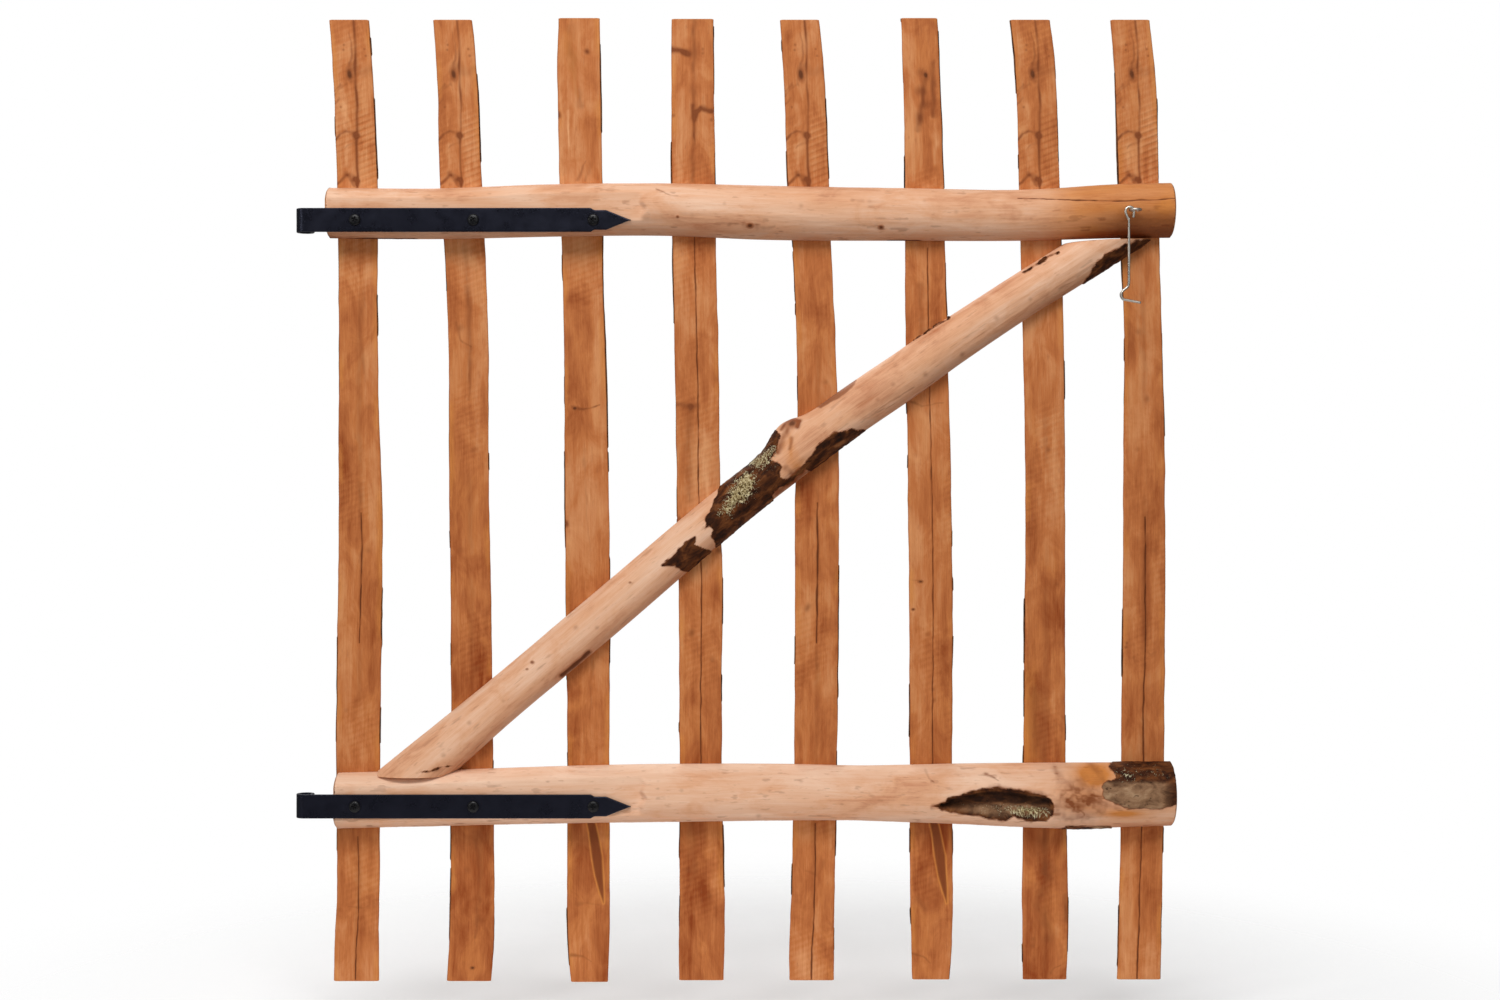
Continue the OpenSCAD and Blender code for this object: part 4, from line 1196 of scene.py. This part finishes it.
def cabin_hook():
    low, high = box_mm("latch_hook")
    loop = np.array([low[0] + CROOK_REACH + WIRE_RADIUS, (low[1] + high[1]) / 2,
                     high[2] - LOOP_RADIUS - WIRE_RADIUS])
    length = loop[2] - low[2] - WIRE_RADIUS
    turns = [math.radians(t) for t in range(-15, 196, 21)]
    arc = [(LOOP_RADIUS * math.cos(t), LOOP_RADIUS * math.sin(t)) for t in turns]
    route = [(4.2, -7.6)] + arc + [(-3.2, -6), (-1.4, -9.4), (-1, -14)]
    route += [(x, z - length) for x, z in ((-1, 35), (-1, 24), (-2.5, 18.5), (-7.8, 14),
                                           (-CROOK_REACH, 9.4), (-8, 4.4), (-3, 3), (13, 0))]
    path = smooth_path([(x, 0, z) for x, z in route], 10) + loop
    piece = wire("latch_hook_wire", path, WIRE_RADIUS, np.array([0.0, 1.0, 0.0]), HOOK)
    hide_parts("latch_hook")


def screw_eye():
    """Wire bent into a ring lying level, its shank going into the rail."""
    low, high = box_mm("screw_eye")
    ring = (high[0] - low[0]) / 2 - WIRE_RADIUS
    middle = np.array([(low[0] + high[0]) / 2, low[1] + ring + WIRE_RADIUS, (low[2] + high[2]) / 2])
    start = math.pi / 2
    bend = [(ring * math.cos(t), ring * math.sin(t), 0) for t in np.linspace(start, start + 5.85, 30)]
    shank = [(0, high[1] - middle[1] - k * (high[1] - middle[1] - ring - 2) / 8, 0) for k in range(9)]
    path = smooth_path(shank + bend, 6) + middle
    piece = wire("screw_eye_wire", path, WIRE_RADIUS, np.array([0.0, 0.0, 1.0]), LEAF)
    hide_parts("screw_eye")


for side in ("upper", "lower"):
    strap_hinge(side)
    for k in (1, 2, 3):
        strap_screw(f"{side}_strap_screw_{k}", math.radians(35 * k - 15))
cabin_hook()
screw_eye()
for node in SCREW_NODES:
    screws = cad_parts[node]
    screws.data.materials.clear()
    screws.data.materials.append(ZINC_SCREW)


# ---------------------------------------------------------------- stage, light and camera

FLOOR_RADIUS = 1.3
FLOOR_DROP = 0.06


def stage():
    """A round pale floor that fades out towards its rim."""
    paint = Paint("studio_floor")
    paint.finish(srgb(240, 240, 240), 0.9)
    paint.shader.inputs["Emission Color"].default_value = (1, 1, 1, 1)
    paint.shader.inputs["Emission Strength"].default_value = 0.2
    place = paint.add("TexCoord").outputs["Object"]
    out = paint.add("VectorMath", {0: place}, operation="LENGTH").outputs["Value"]
    paint.put(paint.shader.inputs["Alpha"], paint.spread(out, 0.45, 1.25, 1.0, 0.0, True))
    turns = np.linspace(0, 2 * math.pi, 65)[:-1]
    rim = [(FLOOR_RADIUS * math.cos(t), FLOOR_RADIUS * math.sin(t), 0) for t in turns]
    mesh = bpy.data.meshes.new("studio_floor")
    mesh.from_pydata(rim, [], [list(range(len(rim)))])
    mesh.materials.append(paint.material)
    floor = bpy.data.objects.new("studio_floor", mesh)
    floor.location = (MIDDLE[0], MIDDLE[1], cad_box[0][2] - FLOOR_DROP)
    bpy.context.scene.collection.objects.link(floor)


def area_light(name, place, size, power):
    light = bpy.data.lights.new(name, "AREA")
    light.shape = "RECTANGLE"
    light.size, light.size_y = size
    light.energy = power
    lamp = bpy.data.objects.new(name, light)
    lamp.location = MIDDLE + np.array(place)
    aim = Vector(MIDDLE) - lamp.location
    lamp.rotation_euler = aim.to_track_quat("-Z", "Y").to_euler()
    bpy.context.scene.collection.objects.link(lamp)


def light_and_camera():
    world = bpy.data.worlds.new("studio")
    bpy.context.scene.world = world
    world.use_nodes = True
    nodes, links = world.node_tree.nodes, world.node_tree.links
    background = nodes["Background"]
    background.inputs["Color"].default_value = (1, 1, 1, 1)
    # A white background that lights the gate only a little
    strength = nodes.new("ShaderNodeMapRange")
    strength.inputs["To Min"].default_value = 0.18
    strength.inputs["To Max"].default_value = 1.0
    links.new(nodes.new("ShaderNodeLightPath").outputs["Is Camera Ray"], strength.inputs["Value"])
    links.new(strength.outputs["Result"], background.inputs["Strength"])
    area_light("key", (-0.3, -2.1, 2.4), (2.2, 1.2), 76)
    area_light("fill", (1.2, -2.6, 0.5), (1.6, 1.4), 8)
    area_light("side", (-2.2, -1.7, 0.4), (0.3, 1.5), 9)
    area_light("back", (-0.8, 2.3, 1.9), (2.0, 1.2), 40)
    camera = bpy.data.cameras.new("camera")
    camera.sensor_width = 36
    camera.lens = 48.46
    camera.clip_end = 50
    eye = bpy.data.objects.new("camera", camera)
    eye.location = MIDDLE + np.array([0, -2.4, 0])
    eye.rotation_euler = (math.pi / 2, 0, 0)
    bpy.context.scene.collection.objects.link(eye)
    bpy.context.scene.camera = eye
    bpy.context.scene.view_settings.view_transform = "Standard"


stage()
light_and_camera()
